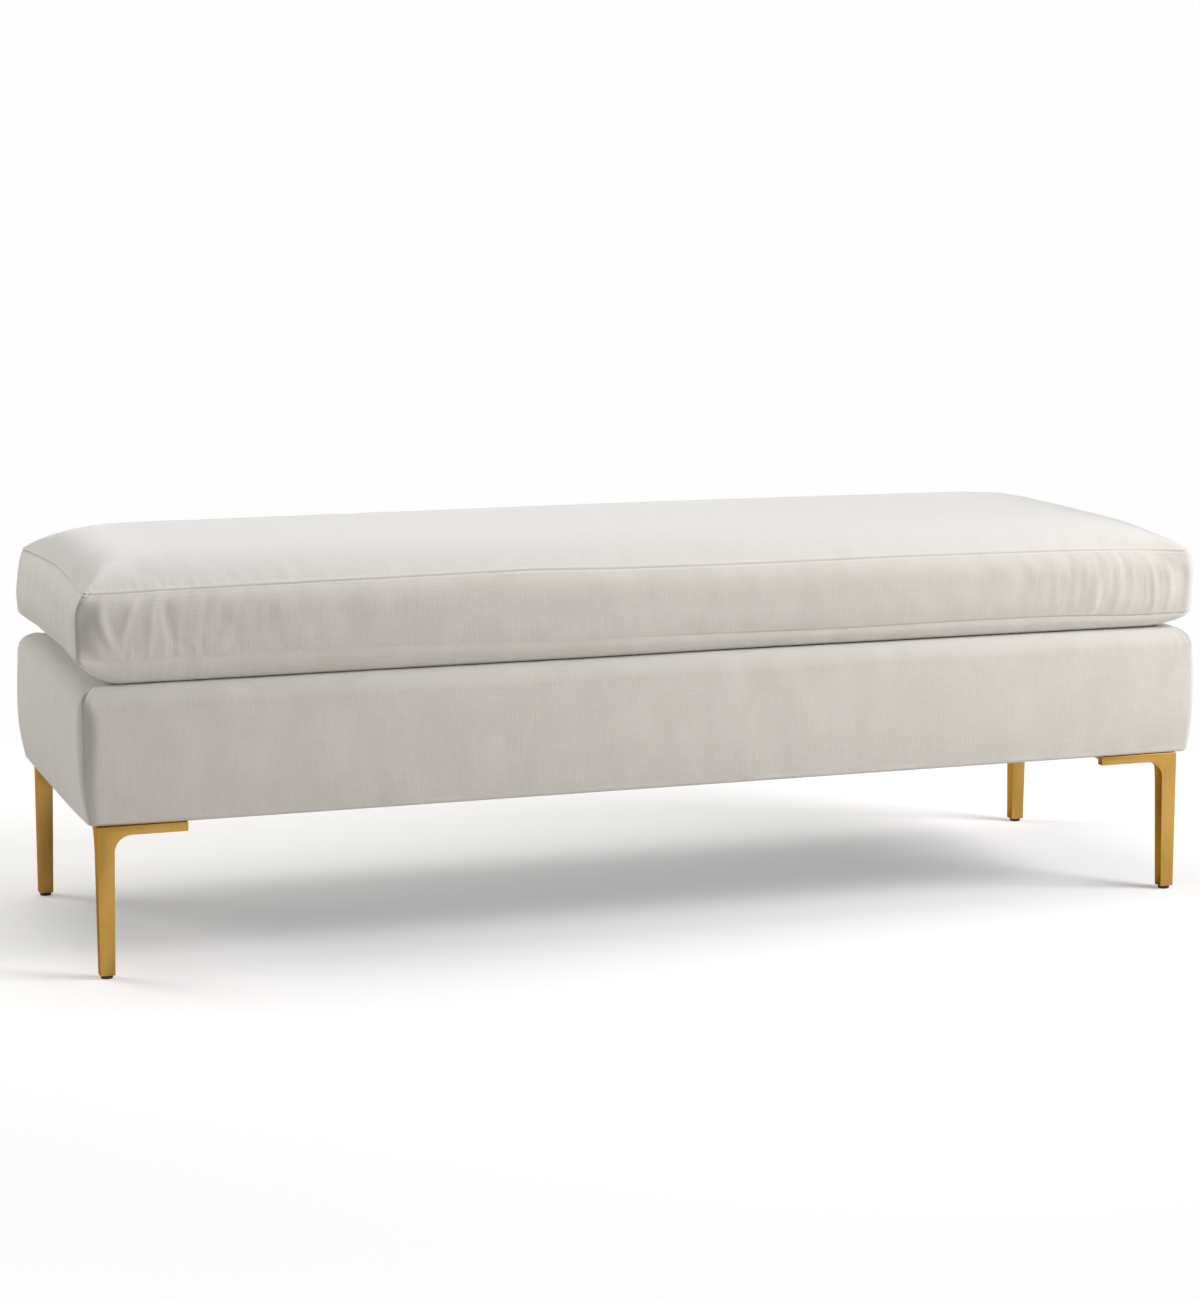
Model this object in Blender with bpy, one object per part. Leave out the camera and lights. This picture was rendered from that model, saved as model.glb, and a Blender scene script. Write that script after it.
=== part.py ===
"""Upholstered bench: a fabric-covered timber box on four L-shaped brass legs with a loose box cushion.

Metres, +Z up. The origin is on the floor under the middle of the bench, X runs along its length and
the front faces -Y. Sizes that can be set by themselves are the named values below; every other size
and place is worked out from them.
"""
import math

import bmesh
import bpy
import numpy as np

# Clearances
GAP = 0.0003            # between pieces that rest on or beside each other
SCREW_PLAY = 0.0005     # round a screw in its hole
BORE_PLAY = 0.0003      # round a foot's stem in its leg
CUT_PAST = 0.0100       # how far a cut runs on past the face where it leaves the piece

# Levelling feet
PAD_RADIUS = 0.0075
PAD_HEIGHT = 0.0040
PAD_EDGE = 0.0006
STEM_RADIUS = 0.0030
STEM_LENGTH = 0.0200
SOCKET_DEPTH = 0.0020
STEM_ROOM = 0.0020      # of the bore above the stem

# Legs
LEG_HEIGHT = 0.1847
LEG_INSET_X = 0.0210    # outer face of a leg inside the base's widest outline
LEG_INSET_Y = 0.0080
FOOT_WIDTH = 0.0184     # along X, at the bottom of the post
FOOT_DEPTH = 0.0164     # along Y, at the bottom of the post
POST_WIDTH = 0.0211
POST_DEPTH = 0.0200
FILLET_RADIUS = 0.0215
FLARE_HEIGHT = 0.0400
FLARE_DEPTH = 0.0340
ARM_REACH = 0.1122
ARM_THICKNESS = 0.0111
ARM_DEPTH = 0.0118
LEG_EDGE = 0.0012
PLATE_DEPTH = 0.0600
PLATE_THICKNESS = 0.0040

# Leg screws, in the leg's own two directions from its outer corner
SCREW_SPOTS = (0.0300, 0.0620, 0.0940)
SCREW_LINE = 0.0460
SCREW_HEAD_RADIUS = 0.0042
SCREW_HEAD_HEIGHT = 0.0024
SCREW_RADIUS = 0.0021
SCREW_LENGTH = 0.0250
SCREW_RIM = 0.0003
SCREW_TIP = 0.0030
PILOT_ROOM = 0.0010     # of the pilot hole past the screw's tip
DRIVE_WIDTH = 0.0011
DRIVE_REACH = 0.0050
DRIVE_DEPTH = 0.0012

# Base: cover, padding and deck
BASE_HALF_LENGTH = 0.7560
BASE_HALF_DEPTH = 0.2440
DUST_CLOTH_THICKNESS = 0.0006
DUST_CLOTH_MARGIN = 0.0220
DUST_HOLE_RADIUS = 0.0036
COVER_THICKNESS = 0.0015
COVER_TURN_UNDER = 0.0340
BOTTOM_ROLL = 0.0090
BOTTOM_DRAW_IN = 0.0080
TOP_ROLL = 0.0260
TOP_DRAW_IN = 0.0025
BASE_CORNER = 0.0090
LEAST_CORNER = 0.0015   # of an inner layer of the base
PADDING_INNER_CORNER = 0.0004
PADDING_DEPTH = 0.0210
DECK_FOAM_THICKNESS = 0.0298

# Timber frame
RAIL_THICKNESS = 0.0200
RAIL_HEIGHT = 0.1330
TIMBER_EDGE = 0.0015
STRETCHER_THICKNESS = 0.0200
STRETCHER_HEIGHT = 0.0600
STRETCHER_DROP = 0.0200
BLOCK_LENGTH = 0.1250
BLOCK_DEPTH = 0.0450
BLOCK_HEIGHT = 0.0400

# Webbing
WEB_WIDTH = 0.0500
WEB_THICKNESS = 0.0015
CROSS_STRAPS = 6
CROSS_END_ROOM = 0.1350 # from the timber's end to the middle of the nearest cross strap
WEB_END_MARGIN = 0.0040
WEAVE_EASE = 0.0040

# Cushion
CUSHION_SETBACK_X = 0.0015   # inside the base's widest outline
CUSHION_SETBACK_Y = 0.0050
LOWER_CROWN = 0.0262
LOWER_CROWN_REACH = 0.0380
BAND_HEIGHT = 0.0825
TOP_CROWN = 0.0465
TOP_CROWN_REACH = 0.1900
TOP_CROWN_POWER = 4.5
LOWER_SEAM_INSET = 0.0055
TOP_SEAM_INSET = 0.0115
BAND_FLAT = 0.0320
SEAM_RISE = 0.0070
SEAM_DRAW_IN = 0.0035
SEAM_EASE = 0.1000
CUSHION_CORNER = 0.0140
CORNER_GROWTH = 0.6000
FIBRE_LEVEL = 0.0055    # underside of the top fibre below the top seam
FIBRE_INSET = 0.0060
CORE_BACK_ROOM = 0.0030

# Zip along the back of the cushion's band
ZIP_END_ROOM = 0.0945   # from the cushion's end to the zip's end
SLIT_WIDTH = 0.0090
TAPE_WIDTH = 0.0130
TAPE_THICKNESS = 0.0006
TAPE_PAST = 0.0100      # of the tapes past the zip's end
CHAIN_WIDTH = 0.0034
CHAIN_THICKNESS = 0.0024
SLIDER_LENGTH = 0.0100
SLIDER_WIDTH = 0.0078
SLIDER_THICKNESS = 0.0014
SLIDER_REST = 0.0150    # middle of the slider from the zip's end
EAR_THICKNESS = 0.0012
PIVOT_RADIUS = 0.0006
PIVOT_STANDOFF = 0.0018
PIVOT_PLAY = 0.0003
TAB_EYE_RADIUS = 0.0014
TAB_WIDTH = 0.0048
TAB_LENGTH = 0.0240
TAB_THICKNESS = 0.0009

# Places and levels that follow from the sizes above
LEG_SPREAD_X = BASE_HALF_LENGTH - LEG_INSET_X
LEG_SPREAD_Y = BASE_HALF_DEPTH - LEG_INSET_Y
FRAME_HALF_LENGTH = BASE_HALF_LENGTH - PADDING_DEPTH
FRAME_HALF_DEPTH = BASE_HALF_DEPTH - PADDING_DEPTH
STRETCHER_SPREAD = FRAME_HALF_LENGTH / 3
CROSS_SPREAD = FRAME_HALF_LENGTH - CROSS_END_ROOM
LONG_SPREAD = FRAME_HALF_DEPTH / 3
CUSHION_HALF_LENGTH = BASE_HALF_LENGTH - CUSHION_SETBACK_X
CUSHION_HALF_DEPTH = BASE_HALF_DEPTH - CUSHION_SETBACK_Y
ZIP_HALF_LENGTH = CUSHION_HALF_LENGTH - ZIP_END_ROOM
SLIDER_END = ZIP_HALF_LENGTH - SLIDER_REST
LEG_BOTTOM = PAD_HEIGHT + GAP
LEG_TOP = LEG_BOTTOM + LEG_HEIGHT
DUST_CLOTH_BOTTOM = LEG_TOP + GAP
BASE_BOTTOM = DUST_CLOTH_BOTTOM + DUST_CLOTH_THICKNESS + GAP
RAIL_BOTTOM = BASE_BOTTOM + COVER_THICKNESS + GAP
RAIL_TOP = RAIL_BOTTOM + RAIL_HEIGHT
WEB_BOTTOM = RAIL_TOP + GAP
WEAVE_STEP = WEB_THICKNESS + GAP
DECK_FOAM_BOTTOM = WEB_BOTTOM + WEB_THICKNESS + WEAVE_STEP + GAP
BASE_TOP = DECK_FOAM_BOTTOM + DECK_FOAM_THICKNESS + GAP + COVER_THICKNESS
CUSHION_BOTTOM = BASE_TOP + GAP
LOWER_SEAM = CUSHION_BOTTOM + LOWER_CROWN
TOP_SEAM = LOWER_SEAM + BAND_HEIGHT
CUSHION_TOP = TOP_SEAM + TOP_CROWN
ZIP_LEVEL = (LOWER_SEAM + TOP_SEAM) / 2
TAPE_FACE = CUSHION_HALF_DEPTH - COVER_THICKNESS - GAP
ZIP_PLANE = TAPE_FACE - TAPE_THICKNESS / 2

CORNERS = {
    "front_left": (-1, -1),
    "front_right": (1, -1),
    "back_left": (-1, 1),
    "back_right": (1, 1),
}


def clear_scene():
    """Start from an empty scene."""
    for item in list(bpy.data.objects):
        bpy.data.objects.remove(item, do_unlink=True)


def material(name, colour, roughness, metallic=0.0):
    """A Principled material with one colour."""
    made = bpy.data.materials.new(name)
    made.use_nodes = True
    shader = made.node_tree.nodes["Principled BSDF"]
    shader.inputs["Base Color"].default_value = (*colour, 1.0)
    shader.inputs["Roughness"].default_value = roughness
    shader.inputs["Metallic"].default_value = metallic
    return made


def add(name, shape, finish, origin=(0, 0, 0)):
    """Make an object of a bmesh in world places, with its own origin and smooth shading."""
    mesh = bpy.data.meshes.new(name)
    shift = np.array(origin)
    for vertex in shape.verts:
        vertex.co.x -= shift[0]
        vertex.co.y -= shift[1]
        vertex.co.z -= shift[2]
    shape.to_mesh(mesh)
    shape.free()
    mesh.shade_smooth()
    mesh.set_sharp_from_angle(angle=math.radians(35))
    made = bpy.data.objects.new(name, mesh)
    made.location = origin
    bpy.context.scene.collection.objects.link(made)
    if finish is not None:
        mesh.materials.append(finish)
    return made


def cutter(name, shape):
    """A hidden tool that only cuts or joins."""
    made = add(name, shape, None)
    made.hide_render = True
    made.display_type = "WIRE"
    return made


def boolean(target, tool, operation="DIFFERENCE"):
    """Cut a tool from the target, or join it on."""
    step = target.modifiers.new(tool.name, "BOOLEAN")
    step.operation = operation
    step.solver = "EXACT"
    step.object = tool


def soften_edges(target, width, segments=2):
    """Round every edge sharper than 40 degrees."""
    step = target.modifiers.new("edges", "BEVEL")
    step.width = width
    step.segments = segments
    step.limit_method = "ANGLE"
    step.angle_limit = math.radians(40)
    step.harden_normals = False


def box(low, high):
    """A block between two corners."""
    shape = bmesh.new()
    bmesh.ops.create_cube(shape, size=1.0)
    middle = (np.array(low) + np.array(high)) / 2
    span = np.abs(np.array(high) - np.array(low))
    for vertex in shape.verts:
        vertex.co.x = middle[0] + vertex.co.x * span[0]
        vertex.co.y = middle[1] + vertex.co.y * span[1]
        vertex.co.z = middle[2] + vertex.co.z * span[2]
    return shape


def loft(rings, closed=False, halves=False):
    """One body through rings of equal length, capped at both ends or joined end to end.

    Halves splits every four-sided face along the same diagonal, so that bent layers nest.
    """
    shape = bmesh.new()
    loops = [[shape.verts.new(point) for point in ring] for ring in rings]
    following = loops[1:] + (loops[:1] if closed else [])
    for lower, upper in zip(loops, following):
        count = len(lower)
        for i in range(count):
            j = (i + 1) % count
            if halves:
                shape.faces.new((lower[i], lower[j], upper[j]))
                shape.faces.new((lower[i], upper[j], upper[i]))
            else:
                shape.faces.new((lower[i], lower[j], upper[j], upper[i]))
    if not closed:
        shape.faces.new(loops[0])
        shape.faces.new(loops[-1])
    bmesh.ops.recalc_face_normals(shape, faces=shape.faces)
    return shape


def prism(outline, start, end, place):
    """A flat outline carried from start to end; place(a, b, c) turns each point into X, Y, Z."""
    return loft([[place(a, b, level) for a, b in outline] for level in (start, end)])


def turned(profile, centre, sides, up=1):
    """A body turned round a vertical axis from (radius, height) points, bottom to top."""
    rings = []
    for radius, height in profile:
        turn = np.linspace(0, 2 * math.pi, sides, endpoint=False)
        level = centre[2] + up * height
        rings.append([(centre[0] + radius * math.cos(a), centre[1] + radius * math.sin(a), level) for a in turn])
    return loft(rings)


def rod_along_x(centre, radius, length, sides):
    """A round rod along X."""
    turn = np.linspace(0, 2 * math.pi, sides, endpoint=False)
    ends = (centre[0] - length / 2, centre[0] + length / 2)
    return loft([[(x, centre[1] + radius * math.cos(a), centre[2] + radius * math.sin(a)) for a in turn]
                 for x in ends])


def joined(shapes):
    """Several shapes in one mesh, for use as a cutter."""
    whole = bmesh.new()
    for shape in shapes:
        mesh = bpy.data.meshes.new("piece")
        shape.to_mesh(mesh)
        shape.free()
        whole.from_mesh(mesh)
        bpy.data.meshes.remove(mesh)
    return whole


def arc(centre, radius, start, end, steps):
    """Points (inset, z) on an arc, angles in degrees."""
    turn = np.radians(np.linspace(start, end, steps + 1))
    return [(centre[0] + radius * math.cos(a), centre[1] + radius * math.sin(a)) for a in turn]


def inward(profile, distance):
    """A section line moved into the body it bounds. The line runs bottom, side, top."""
    points = np.array(profile)
    step = np.diff(points, axis=0)
    normal = np.column_stack([step[:, 1], -step[:, 0]])
    normal /= np.linalg.norm(normal, axis=1)[:, None]
    before = np.vstack([normal[:1], normal])
    after = np.vstack([normal, normal[-1:]])
    mitre = before + after
    mitre /= np.sum(mitre * before, axis=1)[:, None]
    return [tuple(point) for point in points + distance * mitre]


def inset_at(profile, height):
    """The inset of a section line's side at a height."""
    line = sorted((z, inset) for inset, z in profile)
    return float(np.interp(height, [z for z, _ in line], [inset for _, inset in line]))


def smooth(value):
    """A gentle step from 0 to 1."""
    t = min(max(value, 0.0), 1.0)
    return t * t * (3 - 2 * t)


def plan_ring(half_x, half_y, corner, level, long_parts=1, short_parts=1, arc_parts=3):
    """A rounded rectangle at one level, anticlockwise seen from above."""
    radius = min(corner, 0.98 * half_x, 0.98 * half_y)
    points = []
    signs = ((1, -1), (1, 1), (-1, 1), (-1, -1))
    parts = (short_parts, long_parts, short_parts, long_parts)
    for number, (sx, sy) in enumerate(signs):
        start = -90 + 90 * number
        turn = np.radians(np.linspace(start, start + 90, arc_parts + 1))
        middle = (sx * (half_x - radius), sy * (half_y - radius))
        points += [(middle[0] + radius * math.cos(a), middle[1] + radius * math.sin(a), level) for a in turn]
        nx, ny = signs[(number + 1) % 4]
        turn_on = np.radians(start + 90)
        here = np.array(points[-1])
        there = np.array((nx * (half_x - radius) + radius * math.cos(turn_on),
                          ny * (half_y - radius) + radius * math.sin(turn_on), level))
        for i in range(1, parts[number]):
            points.append(tuple(here + (there - here) * i / parts[number]))
    return points


def base_ring(inset, level, corner=None):
    """A ring of the upholstered base at an inset from its widest outline."""
    radius = max(BASE_CORNER - inset, LEAST_CORNER) if corner is None else corner
    return plan_ring(BASE_HALF_LENGTH - inset, BASE_HALF_DEPTH - inset, radius, level)


def base_profile():
    """Section of the base cover's outer face: turned-under edge, bulged side, rolled top edge, deck."""
    low = BASE_BOTTOM + BOTTOM_ROLL
    high = BASE_TOP - TOP_ROLL
    line = [(COVER_TURN_UNDER, BASE_BOTTOM)]
    line += arc((BOTTOM_DRAW_IN + BOTTOM_ROLL, low), BOTTOM_ROLL, 270, 180, 3)
    for s in np.linspace(-1, 1, 7)[1:-1]:
        draw = BOTTOM_DRAW_IN if s < 0 else TOP_DRAW_IN
        line.append((draw * s * s, (low + high) / 2 + s * (high - low) / 2))
    line += arc((TOP_DRAW_IN + TOP_ROLL, high), TOP_ROLL, 180, 90, 5)
    line.append((TOP_DRAW_IN + 3 * TOP_ROLL, BASE_TOP))
    return line


def cushion_profile():
    """Section of the cushion's outer face from the middle of its underside to the middle of its top."""
    line = []
    for t in (1.0, 0.70, 0.42, 0.18):
        drop = LOWER_CROWN * (1 - (1 - t) ** 2)
        line.append((LOWER_SEAM_INSET + LOWER_CROWN_REACH * t, LOWER_SEAM - drop))
    flat_low = ZIP_LEVEL - BAND_FLAT / 2
    flat_high = ZIP_LEVEL + BAND_FLAT / 2
    line.append((LOWER_SEAM_INSET, LOWER_SEAM))
    line.append((0.3 * LOWER_SEAM_INSET, (LOWER_SEAM + flat_low) / 2))
    line.append((0.0, flat_low))
    line.append((0.0, flat_high))
    line.append((0.3 * TOP_SEAM_INSET, (TOP_SEAM + flat_high) / 2))
    line.append((TOP_SEAM_INSET, TOP_SEAM))
    for t in (0.06, 0.14, 0.24, 0.38, 0.58, 1.0):
        climb = TOP_CROWN * (1 - (1 - t) ** TOP_CROWN_POWER)
        line.append((TOP_SEAM_INSET + TOP_CROWN_REACH * t, TOP_SEAM + climb))
    return line


def cushion_ring(inset, level, shaped=True):
    """A ring of the cushion. Between the corners its seams pull in and the top seam arches up."""
    half_x = CUSHION_HALF_LENGTH - inset
    half_y = CUSHION_HALF_DEPTH - inset
    corner = CUSHION_CORNER + CORNER_GROWTH * max(0.0, inset - TOP_SEAM_INSET)
    points = np.array(plan_ring(half_x, half_y, corner, level, long_parts=6, short_parts=2))
    if not shaped:
        return points
    flat_high = ZIP_LEVEL + BAND_FLAT / 2
    flat_low = ZIP_LEVEL - BAND_FLAT / 2
    above = smooth((level - flat_high) / (TOP_SEAM - flat_high))
    below = smooth((flat_low - level) / (flat_low - LOWER_SEAM))
    fade = 1 - smooth((inset - TOP_SEAM_INSET) / SEAM_EASE)
    along = 1 - (points[:, 0] / half_x) ** 2
    across = 1 - (points[:, 1] / half_y) ** 2
    share = np.maximum(along, across)
    on_long_side = along >= across
    pull = SEAM_DRAW_IN * max(above, below) * fade * share
    points[:, 1] -= np.where(on_long_side, np.sign(points[:, 1]) * pull, 0.0)
    points[:, 0] -= np.where(on_long_side, 0.0, np.sign(points[:, 0]) * pull)
    points[:, 2] += SEAM_RISE * above * fade * share
    return points


def at_corner(corner, u, v, level):
    """A place at u along X and v along Y, inwards from a leg's outer corner."""
    sx, sy = CORNERS[corner]
    return (sx * (LEG_SPREAD_X - u), sy * (LEG_SPREAD_Y - v), level)


def leg_outline():
    """Front view of a leg: tapered post, fillet and arm, as (u, z) points."""
    under_arm = LEG_TOP - ARM_THICKNESS
    outline = [(0.0, LEG_BOTTOM), (0.0, LEG_TOP), (ARM_REACH, LEG_TOP), (ARM_REACH, under_arm)]
    outline += arc((POST_WIDTH + FILLET_RADIUS, under_arm - FILLET_RADIUS), FILLET_RADIUS, 90, 180, 7)
    outline.append((FOOT_WIDTH, LEG_BOTTOM))
    return outline


def leg_back_outline():
    """What is cut away behind the post, as (v, z) points: the post deepens in a flare to the plate."""
    plate_bottom = LEG_TOP - PLATE_THICKNESS
    start = plate_bottom - FLARE_HEIGHT
    outline = [(FOOT_DEPTH, LEG_BOTTOM - CUT_PAST), (FOOT_DEPTH, LEG_BOTTOM)]
    for turn in np.radians(np.linspace(0, 90, 8)):
        depth = POST_DEPTH + (FLARE_DEPTH - POST_DEPTH) * (1 - math.cos(turn))
        outline.append((depth, start + FLARE_HEIGHT * math.sin(turn)))
    outline += [(2 * PLATE_DEPTH, plate_bottom), (2 * PLATE_DEPTH, LEG_BOTTOM - CUT_PAST)]
    return outline


def screw_profile(play=0.0, head_drop=0.0, reach=0.0):
    """A countersunk screw, head down, as (radius, height) points; play widens it into its hole."""
    head = SCREW_HEAD_RADIUS + play
    shank = SCREW_RADIUS + play
    tip = shank if reach else 0.3 * SCREW_RADIUS
    return [(head, -head_drop), (head, SCREW_RIM), (shank, SCREW_HEAD_HEIGHT),
            (shank, SCREW_LENGTH - SCREW_TIP), (tip, SCREW_LENGTH + reach)]


def make_leg(corner, finish):
    """One cast leg with its mounting plate, screw holes and the bore for its foot's stem."""
    place = lambda u, level, v: at_corner(corner, u, v, level)
    leg = add("leg_" + corner, prism(leg_outline(), 0.0, PLATE_DEPTH, place), finish)
    plate_bottom = LEG_TOP - PLATE_THICKNESS
    past_arm = ARM_REACH + CUT_PAST
    under_plate = [(POST_WIDTH, LEG_BOTTOM - CUT_PAST), (POST_WIDTH, plate_bottom),
                   (past_arm, plate_bottom), (past_arm, LEG_BOTTOM - CUT_PAST)]
    shelf = prism(under_plate, ARM_DEPTH, 2 * PLATE_DEPTH, place)
    boolean(leg, cutter("cut_behind_arm_" + corner, shelf))
    behind = prism(leg_back_outline(), -CUT_PAST, past_arm,
                   lambda v, level, u: at_corner(corner, u, v, level))
    boolean(leg, cutter("cut_behind_post_" + corner, behind))
    soften_edges(leg, LEG_EDGE)
    holes = [turned(screw_profile(SCREW_PLAY, CUT_PAST), at_corner(corner, u, SCREW_LINE, plate_bottom), 12)
             for u in SCREW_SPOTS]
    boolean(leg, cutter("cut_screw_holes_" + corner, joined(holes)))
    depth = STEM_LENGTH + STEM_ROOM
    bore = turned([(STEM_RADIUS + BORE_PLAY, -CUT_PAST), (STEM_RADIUS + BORE_PLAY, depth)],
                  at_corner(corner, FOOT_WIDTH / 2, FOOT_DEPTH / 2, LEG_BOTTOM), 16)
    boolean(leg, cutter("cut_stem_bore_" + corner, bore))


def make_leg_screws(corner, finish):
    """The countersunk screws that hold a leg's plate to its corner block."""
    for number, u in enumerate(SCREW_SPOTS, start=1):
        seat = at_corner(corner, u, SCREW_LINE, LEG_TOP - PLATE_THICKNESS)
        screw = add(f"leg_screw_{corner}_{number}", turned(screw_profile(), seat, 12), finish, seat)
        low, high = seat[2] - DRIVE_DEPTH, seat[2] + DRIVE_DEPTH
        arms = [box((seat[0] - a, seat[1] - b, low), (seat[0] + a, seat[1] + b, high))
                for a, b in ((DRIVE_REACH / 2, DRIVE_WIDTH / 2), (DRIVE_WIDTH / 2, DRIVE_REACH / 2))]
        first = cutter(f"cut_drive_a_{corner}_{number}", arms[0])
        second = cutter(f"cut_drive_b_{corner}_{number}", arms[1])
        boolean(screw, first)
        boolean(screw, second)


def make_foot(corner, pad_finish, stem_finish):
    """A levelling foot: a pad that stands on the floor and a threaded stem that turns in it."""
    sole = at_corner(corner, FOOT_WIDTH / 2, FOOT_DEPTH / 2, 0.0)
    rim = [(PAD_RADIUS - PAD_EDGE, 0.0), (PAD_RADIUS, PAD_EDGE), (PAD_RADIUS, PAD_HEIGHT - PAD_EDGE),
           (PAD_RADIUS - PAD_EDGE, PAD_HEIGHT)]
    pad = add("foot_pad_" + corner, turned(rim, sole, 24), pad_finish, sole)
    socket = turned([(STEM_RADIUS + BORE_PLAY, PAD_HEIGHT - SOCKET_DEPTH),
                     (STEM_RADIUS + BORE_PLAY, PAD_HEIGHT + CUT_PAST)], sole, 16)
    boolean(pad, cutter("cut_socket_" + corner, socket))
    start = PAD_HEIGHT - SOCKET_DEPTH + GAP
    rod = [(0.8 * STEM_RADIUS, start), (STEM_RADIUS, start + 0.2 * STEM_RADIUS),
           (STEM_RADIUS, start + STEM_LENGTH - 0.3 * STEM_RADIUS), (0.7 * STEM_RADIUS, start + STEM_LENGTH)]
    add("foot_stem_" + corner, turned(rod, sole, 16), stem_finish, sole)


def timber(name, low, high, finish):
    """A sawn piece with eased edges."""
    piece = add(name, box(low, high), finish)
    soften_edges(piece, TIMBER_EDGE, 1)
    return piece


def make_frame(finish):
    """The timber box: four rails, two stretchers and a block in each corner."""
    outer_x, outer_y = FRAME_HALF_LENGTH, FRAME_HALF_DEPTH
    inner_x = outer_x - RAIL_THICKNESS
    inner_y = outer_y - RAIL_THICKNESS
    for name, side in (("front_rail", -1), ("back_rail", 1)):
        timber(name, (-outer_x, side * outer_y, RAIL_BOTTOM), (outer_x, side * inner_y, RAIL_TOP), finish)
    end_y = inner_y - GAP
    for name, side in (("left_end_rail", -1), ("right_end_rail", 1)):
        timber(name, (side * outer_x, -end_y, RAIL_BOTTOM), (side * inner_x, end_y, RAIL_TOP), finish)
    top = RAIL_TOP - STRETCHER_DROP
    for name, side in (("left_stretcher", -1), ("right_stretcher", 1)):
        middle = side * STRETCHER_SPREAD
        timber(name, (middle - STRETCHER_THICKNESS / 2, -end_y, top - STRETCHER_HEIGHT),
               (middle + STRETCHER_THICKNESS / 2, end_y, top), finish)
    for corner, (sx, sy) in CORNERS.items():
        far_x = inner_x - GAP - BLOCK_LENGTH
        far_y = inner_y - GAP - BLOCK_DEPTH
        start = (sx * (inner_x - GAP), sy * (inner_y - GAP), RAIL_BOTTOM)
        end = (sx * far_x, sy * far_y, RAIL_BOTTOM + BLOCK_HEIGHT)
        block = timber("corner_block_" + corner, start, end, finish)
        pilots = [turned(screw_profile(SCREW_PLAY, CUT_PAST, PILOT_ROOM),
                         at_corner(corner, u, SCREW_LINE, LEG_TOP - PLATE_THICKNESS), 12) for u in SCREW_SPOTS]
        boolean(block, cutter("cut_pilots_" + corner, joined(pilots)))


def cross_strap_middles():
    """Where the cross straps lie along X."""
    return np.linspace(-CROSS_SPREAD, CROSS_SPREAD, CROSS_STRAPS)


def strap_along(line, low_y, high_y):
    """A flat strap carried along (x, z) points of its underside."""
    rings = []
    for x, z in line:
        top = z + WEB_THICKNESS
        rings.append([(x, low_y, z), (x, high_y, z), (x, high_y, top), (x, low_y, top)])
    return loft(rings)


def make_webbing(finish):
    """Cross straps laid flat over the rails, and long straps that weave over and under them."""
    reach_y = FRAME_HALF_DEPTH - WEB_END_MARGIN
    for number, middle in enumerate(cross_strap_middles(), start=1):
        strap = box((middle - WEB_WIDTH / 2, -reach_y, WEB_BOTTOM),
                    (middle + WEB_WIDTH / 2, reach_y, WEB_BOTTOM + WEB_THICKNESS))
        add(f"cross_strap_{number}", strap, finish)
    end = FRAME_HALF_LENGTH - WEB_END_MARGIN
    rest = FRAME_HALF_LENGTH - RAIL_THICKNESS
    half = WEB_WIDTH / 2 + WEAVE_EASE
    for name, side in (("front_long_strap", -1), ("back_long_strap", 1)):
        line = [(-end, WEB_BOTTOM), (-rest + WEAVE_EASE, WEB_BOTTOM)]
        above = side > 0
        for middle in cross_strap_middles():
            level = WEB_BOTTOM + (WEAVE_STEP if above else -WEAVE_STEP)
            line += bend_between(line[-1], (middle - half, level))
            line.append((middle + half, level))
            above = not above
        line += bend_between(line[-1], (rest - WEAVE_EASE, WEB_BOTTOM))
        line.append((end, WEB_BOTTOM))
        middle_y = side * LONG_SPREAD
        add(name, strap_along(line, middle_y - WEB_WIDTH / 2, middle_y + WEB_WIDTH / 2), finish)


def bend_between(start, end):
    """Points of an easy S from one level to another, without its first point."""
    points = []
    for t in (0.25, 0.5, 0.75, 1.0):
        x = start[0] + (end[0] - start[0]) * t
        z = start[1] + (end[1] - start[1]) * (1 - math.cos(math.pi * t)) / 2
        points.append((x, z))
    return points


def make_base_upholstery(fabric, foam, lining):
    """Side padding, deck foam, the sewn cover that holds them, and the dust cloth underneath."""
    face = base_profile()
    back = inward(face, COVER_THICKNESS)
    shell = [base_ring(inset, z) for inset, z in reversed(face)]
    shell += [base_ring(inset, z) for inset, z in back]
    add("base_cover", loft(shell), fabric)

    fill = inward(face, COVER_THICKNESS + GAP)
    top = DECK_FOAM_BOTTOM - GAP
    side = [point for point in fill[1:] if RAIL_BOTTOM < point[1] < top]
    outer = [(inset_at(fill[1:], RAIL_BOTTOM), RAIL_BOTTOM)] + side + [(inset_at(fill[1:], top), top)]
    hold = PADDING_DEPTH - GAP
    rings = [base_ring(inset, z) for inset, z in outer]
    rings.append(base_ring(hold, top, PADDING_INNER_CORNER))
    rings.append(base_ring(hold, RAIL_BOTTOM, PADDING_INNER_CORNER))
    add("side_padding", loft(rings, closed=True), foam)

    rim = [(inset_at(fill[1:], DECK_FOAM_BOTTOM), DECK_FOAM_BOTTOM)]
    rim += [point for point in fill if point[1] > DECK_FOAM_BOTTOM]
    add("deck_foam", loft([base_ring(inset, z) for inset, z in rim]), foam)

    low = (DUST_CLOTH_MARGIN - BASE_HALF_LENGTH, DUST_CLOTH_MARGIN - BASE_HALF_DEPTH, DUST_CLOTH_BOTTOM)
    high = (-low[0], -low[1], DUST_CLOTH_BOTTOM + DUST_CLOTH_THICKNESS)
    cloth = add("dust_cloth", box(low, high), lining)
    holes = [turned([(DUST_HOLE_RADIUS, -CUT_PAST), (DUST_HOLE_RADIUS, CUT_PAST)],
                    at_corner(corner, u, SCREW_LINE, DUST_CLOTH_BOTTOM), 12)
             for corner in CORNERS for u in SCREW_SPOTS]
    boolean(cloth, cutter("cut_dust_cloth_holes", joined(holes)))


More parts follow.
